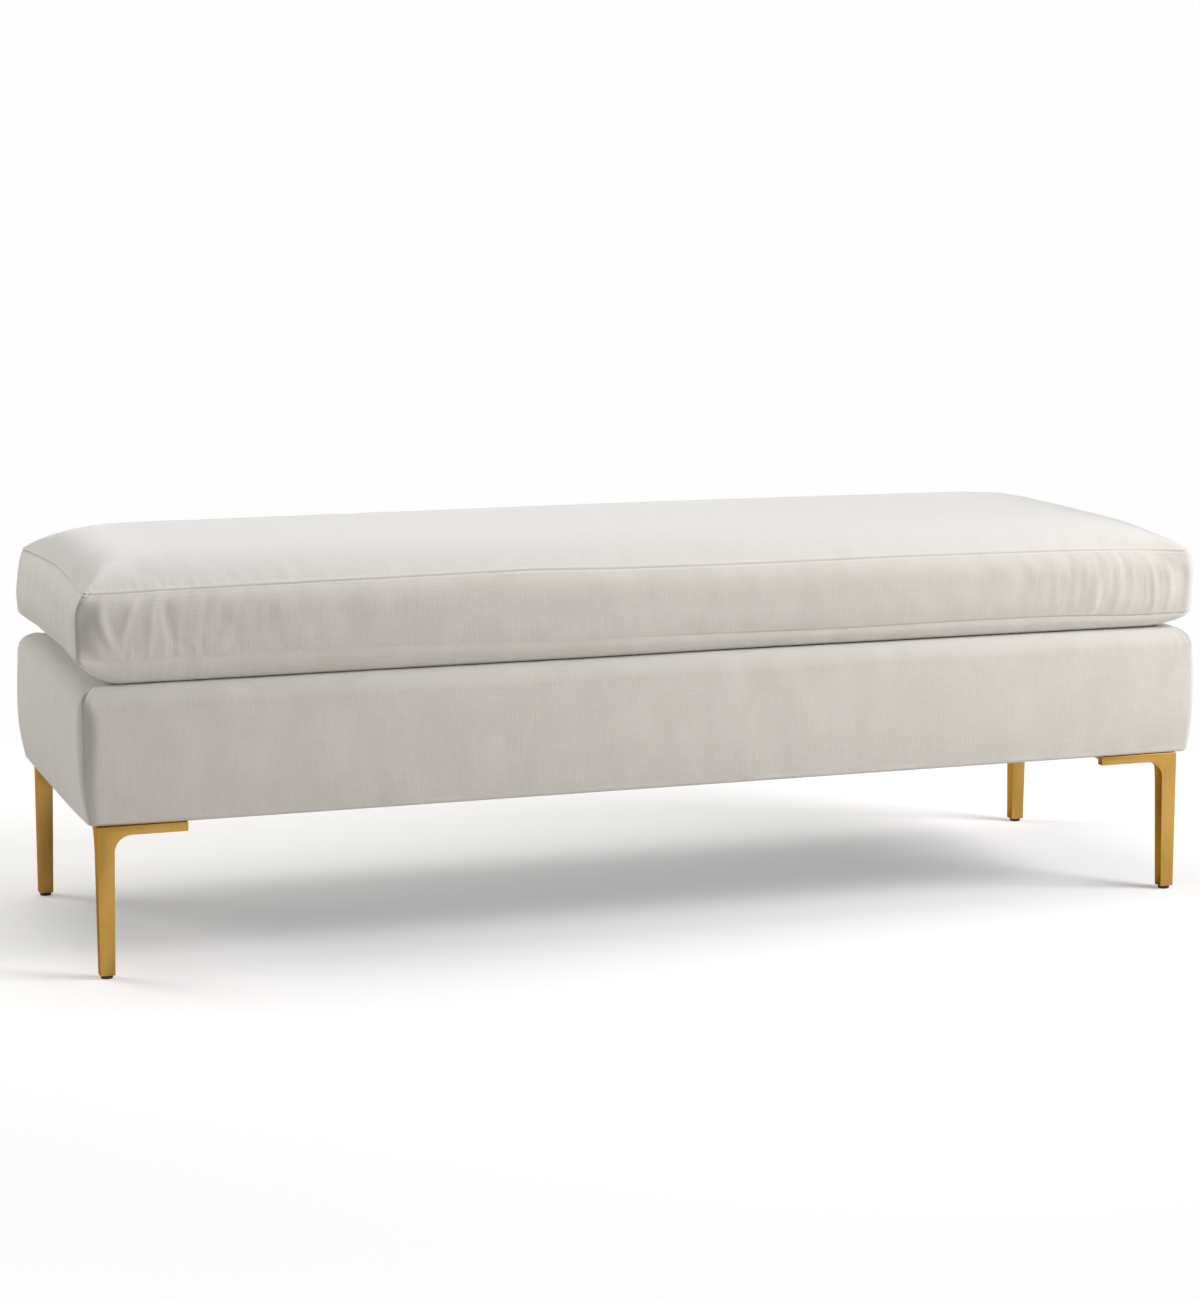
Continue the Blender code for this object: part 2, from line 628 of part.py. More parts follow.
def make_cushion(fabric, foam, fibre):
    """The loose cushion: cover with a slit for its zip, foam core and a layer of fibre above and below."""
    face = cushion_profile()
    cover = add("cushion_cover", loft([cushion_ring(inset, z) for inset, z in face], halves=True), fabric)
    hollow = cutter("cut_cushion_hollow",
                    loft([cushion_ring(inset, z) for inset, z in inward(face, COVER_THICKNESS)], halves=True))
    slit = cutter("cut_zip_slit", box(
        (-ZIP_HALF_LENGTH, CUSHION_HALF_DEPTH - CUT_PAST, ZIP_LEVEL - SLIT_WIDTH / 2),
        (ZIP_HALF_LENGTH, CUSHION_HALF_DEPTH + CUT_PAST, ZIP_LEVEL + SLIT_WIDTH / 2)))
    boolean(hollow, slit, "UNION")
    boolean(cover, hollow)

    fill = inward(face, COVER_THICKNESS + GAP)
    low_seam = face.index((LOWER_SEAM_INSET, LOWER_SEAM))
    top_seam = face.index((TOP_SEAM_INSET, TOP_SEAM))
    lower = [cushion_ring(inset, z) for inset, z in fill[:low_seam + 1]]
    add("lower_fibre", loft(lower, halves=True), fibre)

    level = TOP_SEAM - FIBRE_LEVEL
    upper = [cushion_ring(TOP_SEAM_INSET + FIBRE_INSET, level, shaped=False)]
    upper += [cushion_ring(inset, z) for inset, z in fill[top_seam:]]
    add("upper_fibre", loft(upper, halves=True), fibre)

    room = CORE_BACK_ROOM
    bottom = fill[low_seam][1] + GAP
    core = [cushion_ring(fill[low_seam][0] + SEAM_DRAW_IN + room, bottom, shaped=False)]
    core += [cushion_ring(inset + room, z) for inset, z in fill[low_seam + 1:top_seam - 1]]
    core.append(cushion_ring(TOP_SEAM_INSET + FIBRE_INSET + room, level - GAP, shaped=False))
    add("foam_core", loft(core, halves=True), foam)


def make_zip(tape, coil, metal):
    """The zip behind the slit: two tapes, the closed chain, and the slider with its pull tab."""
    reach = ZIP_HALF_LENGTH + TAPE_PAST
    inner = CHAIN_WIDTH / 2 + GAP
    for name, side in (("lower_zip_tape", -1), ("upper_zip_tape", 1)):
        add(name, box((-reach, TAPE_FACE - TAPE_THICKNESS, ZIP_LEVEL + side * inner),
                      (reach, TAPE_FACE, ZIP_LEVEL + side * (inner + TAPE_WIDTH))), tape)
    add("zip_chain", box((-ZIP_HALF_LENGTH, ZIP_PLANE - CHAIN_THICKNESS / 2, ZIP_LEVEL - CHAIN_WIDTH / 2),
                         (ZIP_HALF_LENGTH, ZIP_PLANE + CHAIN_THICKNESS / 2, ZIP_LEVEL + CHAIN_WIDTH / 2)), coil)

    back = ZIP_PLANE + CHAIN_THICKNESS / 2 + GAP
    front = back + SLIDER_THICKNESS
    pivot = (SLIDER_END, front + PIVOT_STANDOFF, ZIP_LEVEL)
    half = SLIDER_LENGTH / 2
    plate = box((SLIDER_END - half, back, ZIP_LEVEL - SLIDER_WIDTH / 2),
                (SLIDER_END + half, front, ZIP_LEVEL + SLIDER_WIDTH / 2))
    slider = add("zip_slider", plate, metal, pivot)
    ear_inner = TAB_WIDTH / 2 + PIVOT_PLAY
    for name, side in (("left_ear", -1), ("right_ear", 1)):
        ear = box((SLIDER_END + side * ear_inner, front - SLIDER_THICKNESS / 2, ZIP_LEVEL - TAB_EYE_RADIUS),
                  (SLIDER_END + side * (ear_inner + EAR_THICKNESS), pivot[1] + 2 * PIVOT_RADIUS,
                   ZIP_LEVEL + TAB_EYE_RADIUS))
        boolean(slider, cutter("join_" + name, ear), "UNION")
    pin = rod_along_x(pivot, PIVOT_RADIUS, 2 * (ear_inner + EAR_THICKNESS / 2), 12)
    boolean(slider, cutter("join_pivot_pin", pin), "UNION")

    tab = add("zip_pull_tab", rod_along_x(pivot, TAB_EYE_RADIUS, TAB_WIDTH, 20), metal, pivot)
    blade = box((SLIDER_END - TAB_WIDTH / 2, pivot[1] - TAB_THICKNESS / 2, ZIP_LEVEL - TAB_LENGTH),
                (SLIDER_END + TAB_WIDTH / 2, pivot[1] + TAB_THICKNESS / 2, ZIP_LEVEL))
    boolean(tab, cutter("join_tab_blade", blade), "UNION")
    eye = rod_along_x(pivot, PIVOT_RADIUS + PIVOT_PLAY, 2 * TAB_WIDTH, 16)
    boolean(tab, cutter("cut_tab_eye", eye))


def build():
    """Make every piece of the bench."""
    clear_scene()
    ivory = material("ivory_velvet", (0.71, 0.68, 0.63), 0.85)
    brass = material("satin_brass", (0.62, 0.43, 0.16), 0.32, 1.0)
    wood = material("pine", (0.62, 0.47, 0.30), 0.65)
    foam = material("foam", (0.83, 0.79, 0.66), 0.9)
    fibre = material("fibre_wadding", (0.88, 0.88, 0.86), 0.95)
    jute = material("webbing", (0.36, 0.28, 0.18), 0.9)
    lining = material("dust_cloth", (0.025, 0.025, 0.027), 0.95)
    nylon = material("zip_nylon", (0.66, 0.63, 0.58), 0.6)
    zinc = material("zinc_screw", (0.55, 0.55, 0.56), 0.35, 1.0)
    rubber = material("foot_plastic", (0.045, 0.036, 0.028), 0.6)
    make_frame(wood)
    make_webbing(jute)
    make_base_upholstery(ivory, foam, lining)
    make_cushion(ivory, foam, fibre)
    make_zip(nylon, nylon, zinc)
    for corner in CORNERS:
        make_leg(corner, brass)
        make_leg_screws(corner, zinc)
        make_foot(corner, rubber, zinc)


build()
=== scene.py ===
# %% [markdown]
# # Dressing an upholstered bench
# The bench is a long padded box on four slim brass legs, with a loose cushion on top. Its working model
# is already packed: timber, webbing, padding, legs and levelling feet, each in its real place. This file
# loads that model as a fixed frame and gives every piece the surface that it has on the real object.
# Nothing here moves or resizes the frame; soft pieces are built again, finer, in the same places.

# %% Load the frame
import math

import bmesh
import bpy
import numpy as np
from mathutils import Matrix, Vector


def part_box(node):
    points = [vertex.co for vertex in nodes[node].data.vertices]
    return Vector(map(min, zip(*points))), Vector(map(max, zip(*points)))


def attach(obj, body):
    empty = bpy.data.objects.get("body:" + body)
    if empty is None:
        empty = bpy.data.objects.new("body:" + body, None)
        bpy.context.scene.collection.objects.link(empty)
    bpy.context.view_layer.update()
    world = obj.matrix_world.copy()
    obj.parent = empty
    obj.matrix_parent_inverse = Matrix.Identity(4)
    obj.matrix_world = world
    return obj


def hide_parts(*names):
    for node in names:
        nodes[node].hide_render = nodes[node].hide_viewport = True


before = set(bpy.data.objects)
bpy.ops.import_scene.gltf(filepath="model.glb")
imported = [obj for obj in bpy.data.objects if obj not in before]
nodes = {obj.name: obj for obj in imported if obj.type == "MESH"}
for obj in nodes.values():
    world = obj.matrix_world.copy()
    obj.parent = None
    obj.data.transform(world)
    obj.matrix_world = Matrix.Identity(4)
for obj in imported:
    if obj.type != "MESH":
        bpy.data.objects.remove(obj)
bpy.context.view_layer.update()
CORNERS = {"front_left": (-1, -1), "front_right": (1, -1), "back_left": (-1, 1), "back_right": (1, 1)}


def box_of(name):
    """The lowest and the highest corner of a frame node, as arrays."""
    return [np.array(corner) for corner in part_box(name)]


def own(piece, body, slot, *replaced):
    """Attach a piece to the body that carries it and hide the nodes that it stands for. slot, its finish, is
    not used.
    """
    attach(piece, body)
    if replaced:
        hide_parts(*replaced)
    return piece


print("helpers for nodes ready")

# %% [markdown]
# ## The camera
# The photographer stood in front of the bench and a little to its left, above seat height, with a fairly
# long lens. A camera is a place, a direction and a lens. The direction is given here as two angles, and
# the three axes of the camera follow from them, so no helper object is needed.

# %% Camera
CAMERA_PLACE = (-1.3961, -4.0272, 1.0261)
TURN = 0.3314            # to the right of straight ahead, radians
TILT = 0.1612            # below the horizon, radians
FOCAL_PIXELS = 3213.2
PICTURE_HEIGHT = 1299    # pixels
SENSOR = 36.0            # mm


def pose_of(right, up, back, place):
    """Three unit directions and a place as one matrix, a column for each."""
    matrix = np.eye(4)
    matrix[:3] = np.stack([right, up, back, place], axis=1)
    return Matrix(matrix)


ahead = np.array([math.sin(TURN) * math.cos(TILT), math.cos(TURN) * math.cos(TILT), -math.sin(TILT)])
sideways = np.array([math.cos(TURN), -math.sin(TURN), 0.0])
upwards = np.cross(sideways, ahead)
camera = bpy.data.objects.new("camera", bpy.data.cameras.new("camera"))
camera.data.sensor_width = SENSOR
camera.data.lens = FOCAL_PIXELS / PICTURE_HEIGHT * SENSOR
camera.data.clip_end = 60.0
camera.matrix_world = pose_of(sideways, upwards, -ahead, CAMERA_PLACE)
bpy.context.scene.collection.objects.link(camera)
bpy.context.scene.camera = camera
bpy.context.scene.view_settings.view_transform = "Standard"
print("lens:", round(camera.data.lens, 2), "mm")

# %% [markdown]
# ## Building blocks
# Nearly every new piece below is a grid of points: rows and columns worked out as whole arrays. A grid
# becomes a mesh when each small square of four neighbouring points becomes a face. Several grids can
# share points along their borders, which joins them into one closed skin, as panels are sewn into a
# cushion. Each grid also carries flat pattern coordinates, so that a weave can follow the cloth.

# %% Meshes from grids
def grid(index, pattern=None, inside_out=False):
    """Faces of one grid. index holds the point number at each row and column, and pattern the flat
    coordinates there. Each face takes the four corners of one small square."""
    if pattern is None:
        pattern = np.zeros((*index.shape, 2))
    corners = [(slice(None, -1), slice(None, -1)), (slice(None, -1), slice(1, None)),
               (slice(1, None), slice(1, None)), (slice(1, None), slice(None, -1))]
    if inside_out:
        corners.reverse()
    faces = np.stack([index[c].ravel() for c in corners], axis=1)
    flat = np.stack([pattern[c].reshape(-1, 2) for c in corners], axis=1)
    return faces, flat


def skin(name, points, patches, coat=None):
    """One mesh of all the patches, each a pair of faces and flat coordinates from grid()."""
    faces = np.concatenate([p[0] for p in patches])
    flat = np.concatenate([p[1] for p in patches])
    mesh = bpy.data.meshes.new(name)
    mesh.vertices.add(len(points))
    mesh.vertices.foreach_set("co", np.asarray(points, np.float32).ravel())
    mesh.loops.add(faces.size)
    mesh.loops.foreach_set("vertex_index", faces.ravel().astype(np.int32))
    mesh.polygons.add(len(faces))
    mesh.polygons.foreach_set("loop_start", np.arange(0, faces.size, 4, dtype=np.int32))
    mesh.update(calc_edges=True)
    layer = mesh.uv_layers.new(name="pattern")
    layer.data.foreach_set("uv", flat.astype(np.float32).ravel())
    mesh.polygons.foreach_set("use_smooth", np.full(len(faces), True))
    mesh.update()
    made = bpy.data.objects.new(name, mesh)
    bpy.context.scene.collection.objects.link(made)
    if coat is not None:
        mesh.materials.append(coat)
    return made


def wrapped(rows):
    """The same rows with the first column repeated at the end, which closes a ring."""
    return np.concatenate([rows, rows[:, :1]], axis=1)


def smooth_step(value):
    """0 below 0, 1 above 1, and an easy S between: 3t squared minus 2t cubed."""
    t = np.clip(value, 0.0, 1.0)
    return t * t * (3 - 2 * t)


def bell(distance, width):
    """A smooth bump: e to the minus square of distance over width."""
    return np.exp(-(distance / width) ** 2)


def way_along(places):
    """The way along a line of places: 0 at the first, then the sum of the steps."""
    return np.concatenate([[0.0], np.cumsum(np.linalg.norm(np.diff(places, axis=0), axis=1))])


def direction(line):
    """The unit direction of a line of places at each place."""
    step = np.gradient(line, axis=0)
    return step / np.linalg.norm(step, axis=1)[:, None]


def uneven(way, wavelengths, seed):
    """A line that wavers like gathered cloth: one sine for each wavelength, each with its own start
    and its own slow drift, both drawn from a fixed seed, so it is the same every time."""
    starts = np.random.default_rng(seed).uniform(0, 2 * np.pi, (len(wavelengths), 2))
    waves = [np.sin(2 * np.pi * way / length + start + 1.6 * np.sin(2 * np.pi * way / (5.3 * length) + drift))
             for length, (start, drift) in zip(wavelengths, starts)]
    return sum(waves) / len(waves)


def outward(points, patches):
    """The direction out of the surface at every point. Each face's direction is the cross product of its
    two diagonals, and a point takes the sum over the faces round it."""
    faces = np.concatenate([p[0] for p in patches])
    across = np.cross(points[faces[:, 2]] - points[faces[:, 0]], points[faces[:, 3]] - points[faces[:, 1]])
    total = np.zeros_like(points)
    for corner in range(4):
        for axis in range(3):
            total[:, axis] += np.bincount(faces[:, corner], across[:, axis], len(points))
    return total / np.maximum(np.linalg.norm(total, axis=1), 1e-12)[:, None]


print("helpers ready")

# %% [markdown]
# ## The room
# A white studio sweep: pale floor, no visible corner, and soft light. The light comes mostly from the
# upper right, so the right end of the front is brighter than the left and the shadow falls to the left
# and behind. The background should look white without pouring more light on the bench. So the world is
# white to the camera only, with a share of that left for reflections. What the camera sees of the floor
# is lifted too: towards white under the bench, and fully white far away.

# %% World
WORLD_LIGHT = 0.12
WHITE = 0.985            # what the camera should see of the background
MIRRORED = 0.42          # the share of that white that shows in the metal


def put(tree, kind, **settings):
    """Add a shader node and set its own properties."""
    node = tree.nodes.new(kind)
    for name, value in settings.items():
        setattr(node, name, value)
    return node


def arithmetic(tree, operation, first, second):
    """One step of arithmetic on numbers or outputs."""
    made = put(tree, "ShaderNodeMath", operation=operation)
    for socket, value in zip(made.inputs, (first, second)):
        if isinstance(value, (int, float)):
            socket.default_value = value
        else:
            tree.links.new(value, socket)
    return made.outputs[0]


def spread_out(tree, value, low, high, new_low=0.0, new_high=1.0):
    """Stretch the part of a value between low and high over a new range."""
    made = put(tree, "ShaderNodeMapRange")
    tree.links.new(value, made.inputs["Value"])
    for name, number in (("From Min", low), ("From Max", high), ("To Min", new_low), ("To Max", new_high)):
        made.inputs[name].default_value = number
    return made.outputs[0]


world = bpy.data.worlds.new("studio")
world.use_nodes = True
bpy.context.scene.world = world
tree = world.node_tree
tree.nodes.clear()
rays = put(tree, "ShaderNodeLightPath")
mirrored = arithmetic(tree, "MULTIPLY", rays.outputs["Is Glossy Ray"], MIRRORED)
seen = arithmetic(tree, "MAXIMUM", rays.outputs["Is Camera Ray"], mirrored)
sky = put(tree, "ShaderNodeBackground")
sky.inputs["Color"].default_value = (1.0, 1.0, 1.0, 1.0)
tree.links.new(spread_out(tree, seen, 0.0, 1.0, WORLD_LIGHT, WHITE), sky.inputs["Strength"])
tree.links.new(sky.outputs[0], put(tree, "ShaderNodeOutputWorld").inputs["Surface"])
print("world light:", WORLD_LIGHT)

# %% Floor
FLOOR_COLOUR = 0.80
FLOOR_LIFT = 0.305       # the least that the camera sees of the floor, in its deepest shadow
FLOOR_SEEN = 0.80        # the floor's colour to the camera, apart from that lift
FADE_SHIFT = (0.15, -0.10, 0.0)  # added to a place before its distance from the middle is measured
FADE_START, FADE_END = 0.95, 1.6

paper = bpy.data.materials.new("floor_paper")
paper.use_nodes = True
tree = paper.node_tree
tree.nodes.clear()
plain = put(tree, "ShaderNodeBsdfDiffuse")
plain.inputs["Color"].default_value = (FLOOR_COLOUR, FLOOR_COLOUR, FLOOR_COLOUR, 1.0)
shaded = put(tree, "ShaderNodeBsdfDiffuse")
shaded.inputs["Color"].default_value = (1.005 * FLOOR_SEEN, FLOOR_SEEN, 0.98 * FLOOR_SEEN, 1.0)
lift = put(tree, "ShaderNodeEmission")
lift.inputs["Strength"].default_value = FLOOR_LIFT
near = put(tree, "ShaderNodeAddShader")
tree.links.new(shaded.outputs[0], near.inputs[0])
tree.links.new(lift.outputs[0], near.inputs[1])
far = put(tree, "ShaderNodeEmission")
far.inputs["Strength"].default_value = WHITE
off_middle = put(tree, "ShaderNodeVectorMath", operation="ADD")
off_middle.inputs[1].default_value = FADE_SHIFT
tree.links.new(put(tree, "ShaderNodeTexCoord").outputs["Object"], off_middle.inputs[0])
distance = put(tree, "ShaderNodeVectorMath", operation="LENGTH")
tree.links.new(off_middle.outputs[0], distance.inputs[0])
faded = put(tree, "ShaderNodeMixShader")
tree.links.new(spread_out(tree, distance.outputs["Value"], FADE_START, FADE_END), faded.inputs[0])
tree.links.new(near.outputs[0], faded.inputs[1])
tree.links.new(far.outputs[0], faded.inputs[2])
to_camera = put(tree, "ShaderNodeMixShader")
tree.links.new(put(tree, "ShaderNodeLightPath").outputs["Is Camera Ray"], to_camera.inputs[0])
tree.links.new(plain.outputs[0], to_camera.inputs[1])
tree.links.new(faded.outputs[0], to_camera.inputs[2])
tree.links.new(to_camera.outputs[0], put(tree, "ShaderNodeOutputMaterial").inputs["Surface"])

across, deep = np.meshgrid(np.linspace(-30, 30, 3), np.linspace(-30, 30, 3))
floor_points = np.stack([across, deep, np.zeros_like(across)], axis=-1).reshape(-1, 3)
skin("floor", floor_points, [grid(np.arange(9).reshape(3, 3))], paper)
print("floor ready")

# %% Lamps
def lamp(name, place, aim, size, power, colour=(1.0, 1.0, 1.0)):
    """A soft square lamp that faces a point. Its own axes are built from that direction."""
    light = bpy.data.lights.new(name, "AREA")
    light.size = size
    light.energy = power
    light.color = colour
    made = bpy.data.objects.new(name, light)
    back = np.array(place, float) - np.array(aim, float)
    back /= np.linalg.norm(back)
    side = np.cross([0.0, 0.0, 1.0], back)
    side /= np.linalg.norm(side)
    made.matrix_world = pose_of(side, np.cross(back, side), back, place)
    bpy.context.scene.collection.objects.link(made)


lamp("key_right", (3.0, -1.9, 2.4), (0.2, 0.0, 0.3), 1.8, 139.0, (1.0, 0.992, 1.04))
lamp("overhead", (-0.5, 0.4, 2.9), (-0.2, 0.1, 0.4), 2.3, 39.0)
lamp("behind_left", (-3.2, 2.4, 1.7), (-0.7, 0.0, 0.35), 1.6, 54.0, (1.0, 0.985, 0.96))

# %% [markdown]
# ## Velvet
# The cover is an ivory upholstery velvet. Three things make it read as velvet: a soft pale glow where
# the surface turns away from the eye (sheen), cloudy patches where the pile was brushed one way or the
# other, and a fine crossing of threads. The patches and threads come from noise stretched along the two
# directions of the cloth, read from the pattern coordinates, so they bend with the piece. Where the cloth
# faces up, its colour is painted paler and less warm: painted sheen and overhead light on the top.

# %% Shader helpers
def material(name, colour, roughness, metallic=0.0, sheen=0.0, sheen_roughness=0.5, specular=0.5):
    """A Principled material. What is the same all over is set on the shader's own sockets."""
    made = bpy.data.materials.new(name)
    made.use_nodes = True
    shader = made.node_tree.nodes["Principled BSDF"]
    shader.inputs["Base Color"].default_value = (*colour, 1.0)
    shader.inputs["Roughness"].default_value = roughness
    shader.inputs["Metallic"].default_value = metallic
    shader.inputs["Specular IOR Level"].default_value = specular
    if sheen:
        shader.inputs["Sheen Weight"].default_value = sheen
        shader.inputs["Sheen Roughness"].default_value = sheen_roughness
        shader.inputs["Sheen Tint"].default_value = (1.0, 0.985, 0.96, 1.0)
    return made, made.node_tree, shader


def noise(tree, place, stretch, detail=2.0, distortion=0.0):
    """Noise with its own number of bumps per metre in each direction."""
    mapping = put(tree, "ShaderNodeMapping")
    mapping.inputs["Scale"].default_value = stretch
    tree.links.new(place, mapping.inputs["Vector"])
    made = put(tree, "ShaderNodeTexNoise")
    made.inputs["Scale"].default_value = 1.0
    made.inputs["Detail"].default_value = detail
    made.inputs["Distortion"].default_value = distortion
    tree.links.new(mapping.outputs[0], made.inputs["Vector"])
    return made.outputs["Fac"]


def blend_colours(tree, factor, first, second):
    """Blend two colours or colour outputs."""
    made = put(tree, "ShaderNodeMix", data_type="RGBA")
    tree.links.new(factor, made.inputs[0])
    for socket, value in ((made.inputs[6], first), (made.inputs[7], second)):
        if isinstance(value, tuple):
            socket.default_value = (*value, 1.0)
        else:
            tree.links.new(value, socket)
    return made.outputs[2]


def mottle(tree, shader, factor, first, second):
    """Colour a finish with a blend of two colours."""
    tree.links.new(blend_colours(tree, factor, first, second), shader.inputs["Base Color"])


def dull(tree, shader, value, low, high, smoothest, roughest):
    """Let a value that runs from low to high change how rough a finish is."""
    tree.links.new(spread_out(tree, value, low, high, smoothest, roughest), shader.inputs["Roughness"])


def solid_place(tree):
    """The piece's own coordinates, in metres."""
    return put(tree, "ShaderNodeTexCoord").outputs["Object"]


def along_axis(tree, place, axis):
    """One of the three numbers of a place or a direction."""
    parts = put(tree, "ShaderNodeSeparateXYZ")
    tree.links.new(place, parts.inputs[0])
    return parts.outputs[axis]


def bump(tree, shader, height, distance):
    """Raise the surface in light only, by a distance in metres times a value."""
    made = put(tree, "ShaderNodeBump")
    made.inputs["Distance"].default_value = distance
    tree.links.new(height, made.inputs["Height"])
    tree.links.new(made.outputs[0], shader.inputs["Normal"])


print("shader helpers ready")

# %% Ivory velvet
IVORY = (0.777, 0.735, 0.650)
IVORY_BRUSHED = (0.733, 0.694, 0.611)
# painted sheen and overhead light: the colour of cloth that faces up, paler and less warm than IVORY
PAINTED_SHEEN_TOP = (0.768, 0.755, 0.714)
THREAD_SHADE = (0.620, 0.575, 0.500)

velvet, tree, shader = material("ivory_velvet", IVORY, 0.86, sheen=0.90, sheen_roughness=0.44,
                                specular=0.15)
cloth = put(tree, "ShaderNodeUVMap", uv_map="pattern").outputs[0]
warp = noise(tree, cloth, (640.0, 26.0, 1.0), detail=1.0)
weft = noise(tree, cloth, (26.0, 640.0, 1.0), detail=1.0)
pile = noise(tree, cloth, (2600.0, 2600.0, 1.0), detail=1.0)
nap = spread_out(tree, noise(tree, cloth, (22.0, 13.0, 1.0), detail=3.0, distortion=0.5), 0.36, 0.66)
threads = arithmetic(tree, "ADD", warp, weft)
colour = blend_colours(tree, nap, IVORY, IVORY_BRUSHED)
# painted sheen: the more a face points up, the more it takes the paler painted top colour
faces_up_painted_sheen = along_axis(tree, put(tree, "ShaderNodeTexCoord").outputs["Normal"], 2)
colour = blend_colours(tree, spread_out(tree, faces_up_painted_sheen, 0.60, 0.93), colour, PAINTED_SHEEN_TOP)
mottle(tree, shader, spread_out(tree, threads, 0.80, 1.30, 0.0, 0.20), colour, THREAD_SHADE)
bump(tree, shader, arithmetic(tree, "ADD", threads, arithmetic(tree, "MULTIPLY", pile, 0.6)), 0.00022)
print("velvet ready")

# %% [markdown]
# ## The shape of the cushion
# The cushion is a box cushion: a top and a bottom panel joined by a band. The filling makes both panels
# crown, and the seams pull in between the corners and arch up along each side. The sewn corners stay
# where they are, so they look sharper than the sides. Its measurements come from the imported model; the
# heights of the seams along the front were read off the photograph, where the cushion has settled a
# little to the right.

# %% Measurements of the cushion
cushion_low, cushion_high = box_of("cushion_cover")
HALF_X, HALF_Y = cushion_high[0], cushion_high[1]
BOTTOM, TOP = cushion_low[2], cushion_high[2]
LOWER_CROWN, CROWN = 0.0262, 0.0465
LOWER_SEAM, TOP_SEAM = BOTTOM + LOWER_CROWN, TOP - CROWN
BAND_HEIGHT = TOP_SEAM - LOWER_SEAM
TOP_INSET, LOWER_INSET = 0.0115, 0.0055
DRAW_IN = 0.0035         # the seams are pulled in by this much at the middle of each side
SLACK_CORNER = 0.0085    # the band's front falls back by this much beside the front left corner
FLATTER_END = 0.0034     # its left end comes in by this much, mostly near the back
SETTLED = 0.0030         # the crown is this much lower at the right
FULL_CORNER = 0.006      # but this much higher beside the front right corner
CROWN_POWER = 4.5
FRONT_REACH, LEFT_REACH, RIGHT_REACH = 0.19, 0.185, 0.27
LOWER_REACH, LOWER_END_REACH = 0.024, 0.055
CLOTH = 0.0015
print("cushion:", np.round([2 * HALF_X, 2 * HALF_Y, TOP - BOTTOM], 4))


# %% Plan of the cushion
# The corners are listed as front left, front right, back left and back right. CORNER_CHANGE is added to
# the radius, STANDS_OUT is the share of its inset that a seam gives up there, and TUCKED is how strong
# the small creases are.
CORNER = 0.014
CORNER_CHANGE = (-0.008, -0.002, 0.0, 0.002)
TOP_STANDS_OUT = (0.0, 0.65, 0.25, 0.30)
LOWER_STANDS_OUT = (1.0, 0.50, 0.50, 0.30)
TUCKED = (1.0, 0.3, 0.6, 0.5)


def near_corners(a, b, values, width):
    """A value for each corner, which fades away from it by a bell of that width in metres."""
    total = np.zeros(np.broadcast(a, b).shape)
    for (sx, sy), value in zip(CORNERS.values(), values):
        total = total + value * bell(np.hypot((a - sx) * HALF_X, (b - sy) * HALF_Y), width)
    return total


def rounded(x, y, half_x, half_y, radius):
    """Move points of a sharp rectangle onto one with round corners. Every point lies on a ring at its
    own distance from the edge. Along each side of the ring the share of the way to the corner stays the
    same, measured along the side and then along half of the corner's arc."""
    depth = np.minimum(half_x - np.abs(x), half_y - np.abs(y))
    ring_x, ring_y = half_x - depth, half_y - depth
    r = np.minimum(radius * np.exp(-depth / 0.02) + 1e-6, 0.98 * np.minimum(ring_x, ring_y) + 1e-9)
    long_side = half_y - np.abs(y) <= half_x - np.abs(x)
    along, half, other = (np.where(long_side, np.abs(x), np.abs(y)), np.where(long_side, ring_x, ring_y),
                          np.where(long_side, ring_y, ring_x))
    way = along / np.maximum(half, 1e-9) * (half - r + r * np.pi / 4)
    turn = np.maximum(way - (half - r), 0.0) / r
    on = np.minimum(way, half - r) + r * np.sin(turn)
    out = other - r + r * np.cos(turn)
    return np.sign(x) * np.where(long_side, on, out), np.sign(y) * np.where(long_side, out, on)


def to_corner(a, b, half_x, half_y):
    """Distance to the nearest corner of a panel, in metres."""
    return np.hypot((1 - np.abs(a)) * half_x, (1 - np.abs(b)) * half_y)


def plan(a, b, inset, drawn):
    """Where a point of the cushion lies seen from above. a and b run from -1 to 1 along and across, inset
    is the distance inside the widest outline, and drawn is how far the seams have pulled in."""
    half_x, half_y = HALF_X - inset, HALF_Y - inset
    x, y = rounded(a * half_x, b * half_y, half_x, half_y, CORNER + near_corners(a, b, CORNER_CHANGE, 0.05))
    from_side, from_end = (1 - np.abs(b)) * HALF_Y, (1 - np.abs(a)) * HALF_X
    y = y - np.sign(b) * drawn * bell(from_side, 0.06) * (1 - a ** 2)
    x = x - np.sign(a) * drawn * bell(from_end, 0.06) * (1 - b ** 2)
    return x, y


def top_inset(a, b):
    """The top seam's inset, less at the sewn corners."""
    return TOP_INSET * (1 - near_corners(a, b, TOP_STANDS_OUT, 0.030))


def lower_inset(a, b):
    """The lower seam's inset, less at the sewn corners. Along the left part of the front the filling
    pushes the seam out, so that the band rolls under without a step."""
    pushed_out = 0.85 * smooth_step((0.15 - a * HALF_X) / 0.25) * smooth_step((-0.3 - b) / 0.5)
    return LOWER_INSET * (1 - near_corners(a, b, LOWER_STANDS_OUT, 0.030)) * (1 - pushed_out)


# %% Heights of the seams
FINE_PLACES, WINDOW = 2001, 161


def eased(stations, millimetres):
    """A smooth line through a few measured heights: straight pieces, averaged over a moving window."""
    fine = np.linspace(stations[0], stations[-1], FINE_PLACES)
    window = np.hanning(WINDOW)
    line = np.interp(fine, stations, np.array(millimetres) / 1000)
    line = np.pad(line, WINDOW // 2, mode="reflect", reflect_type="odd")
    line = np.convolve(line, window / window.sum(), mode="valid")
    return lambda s: np.interp(s, fine, line)


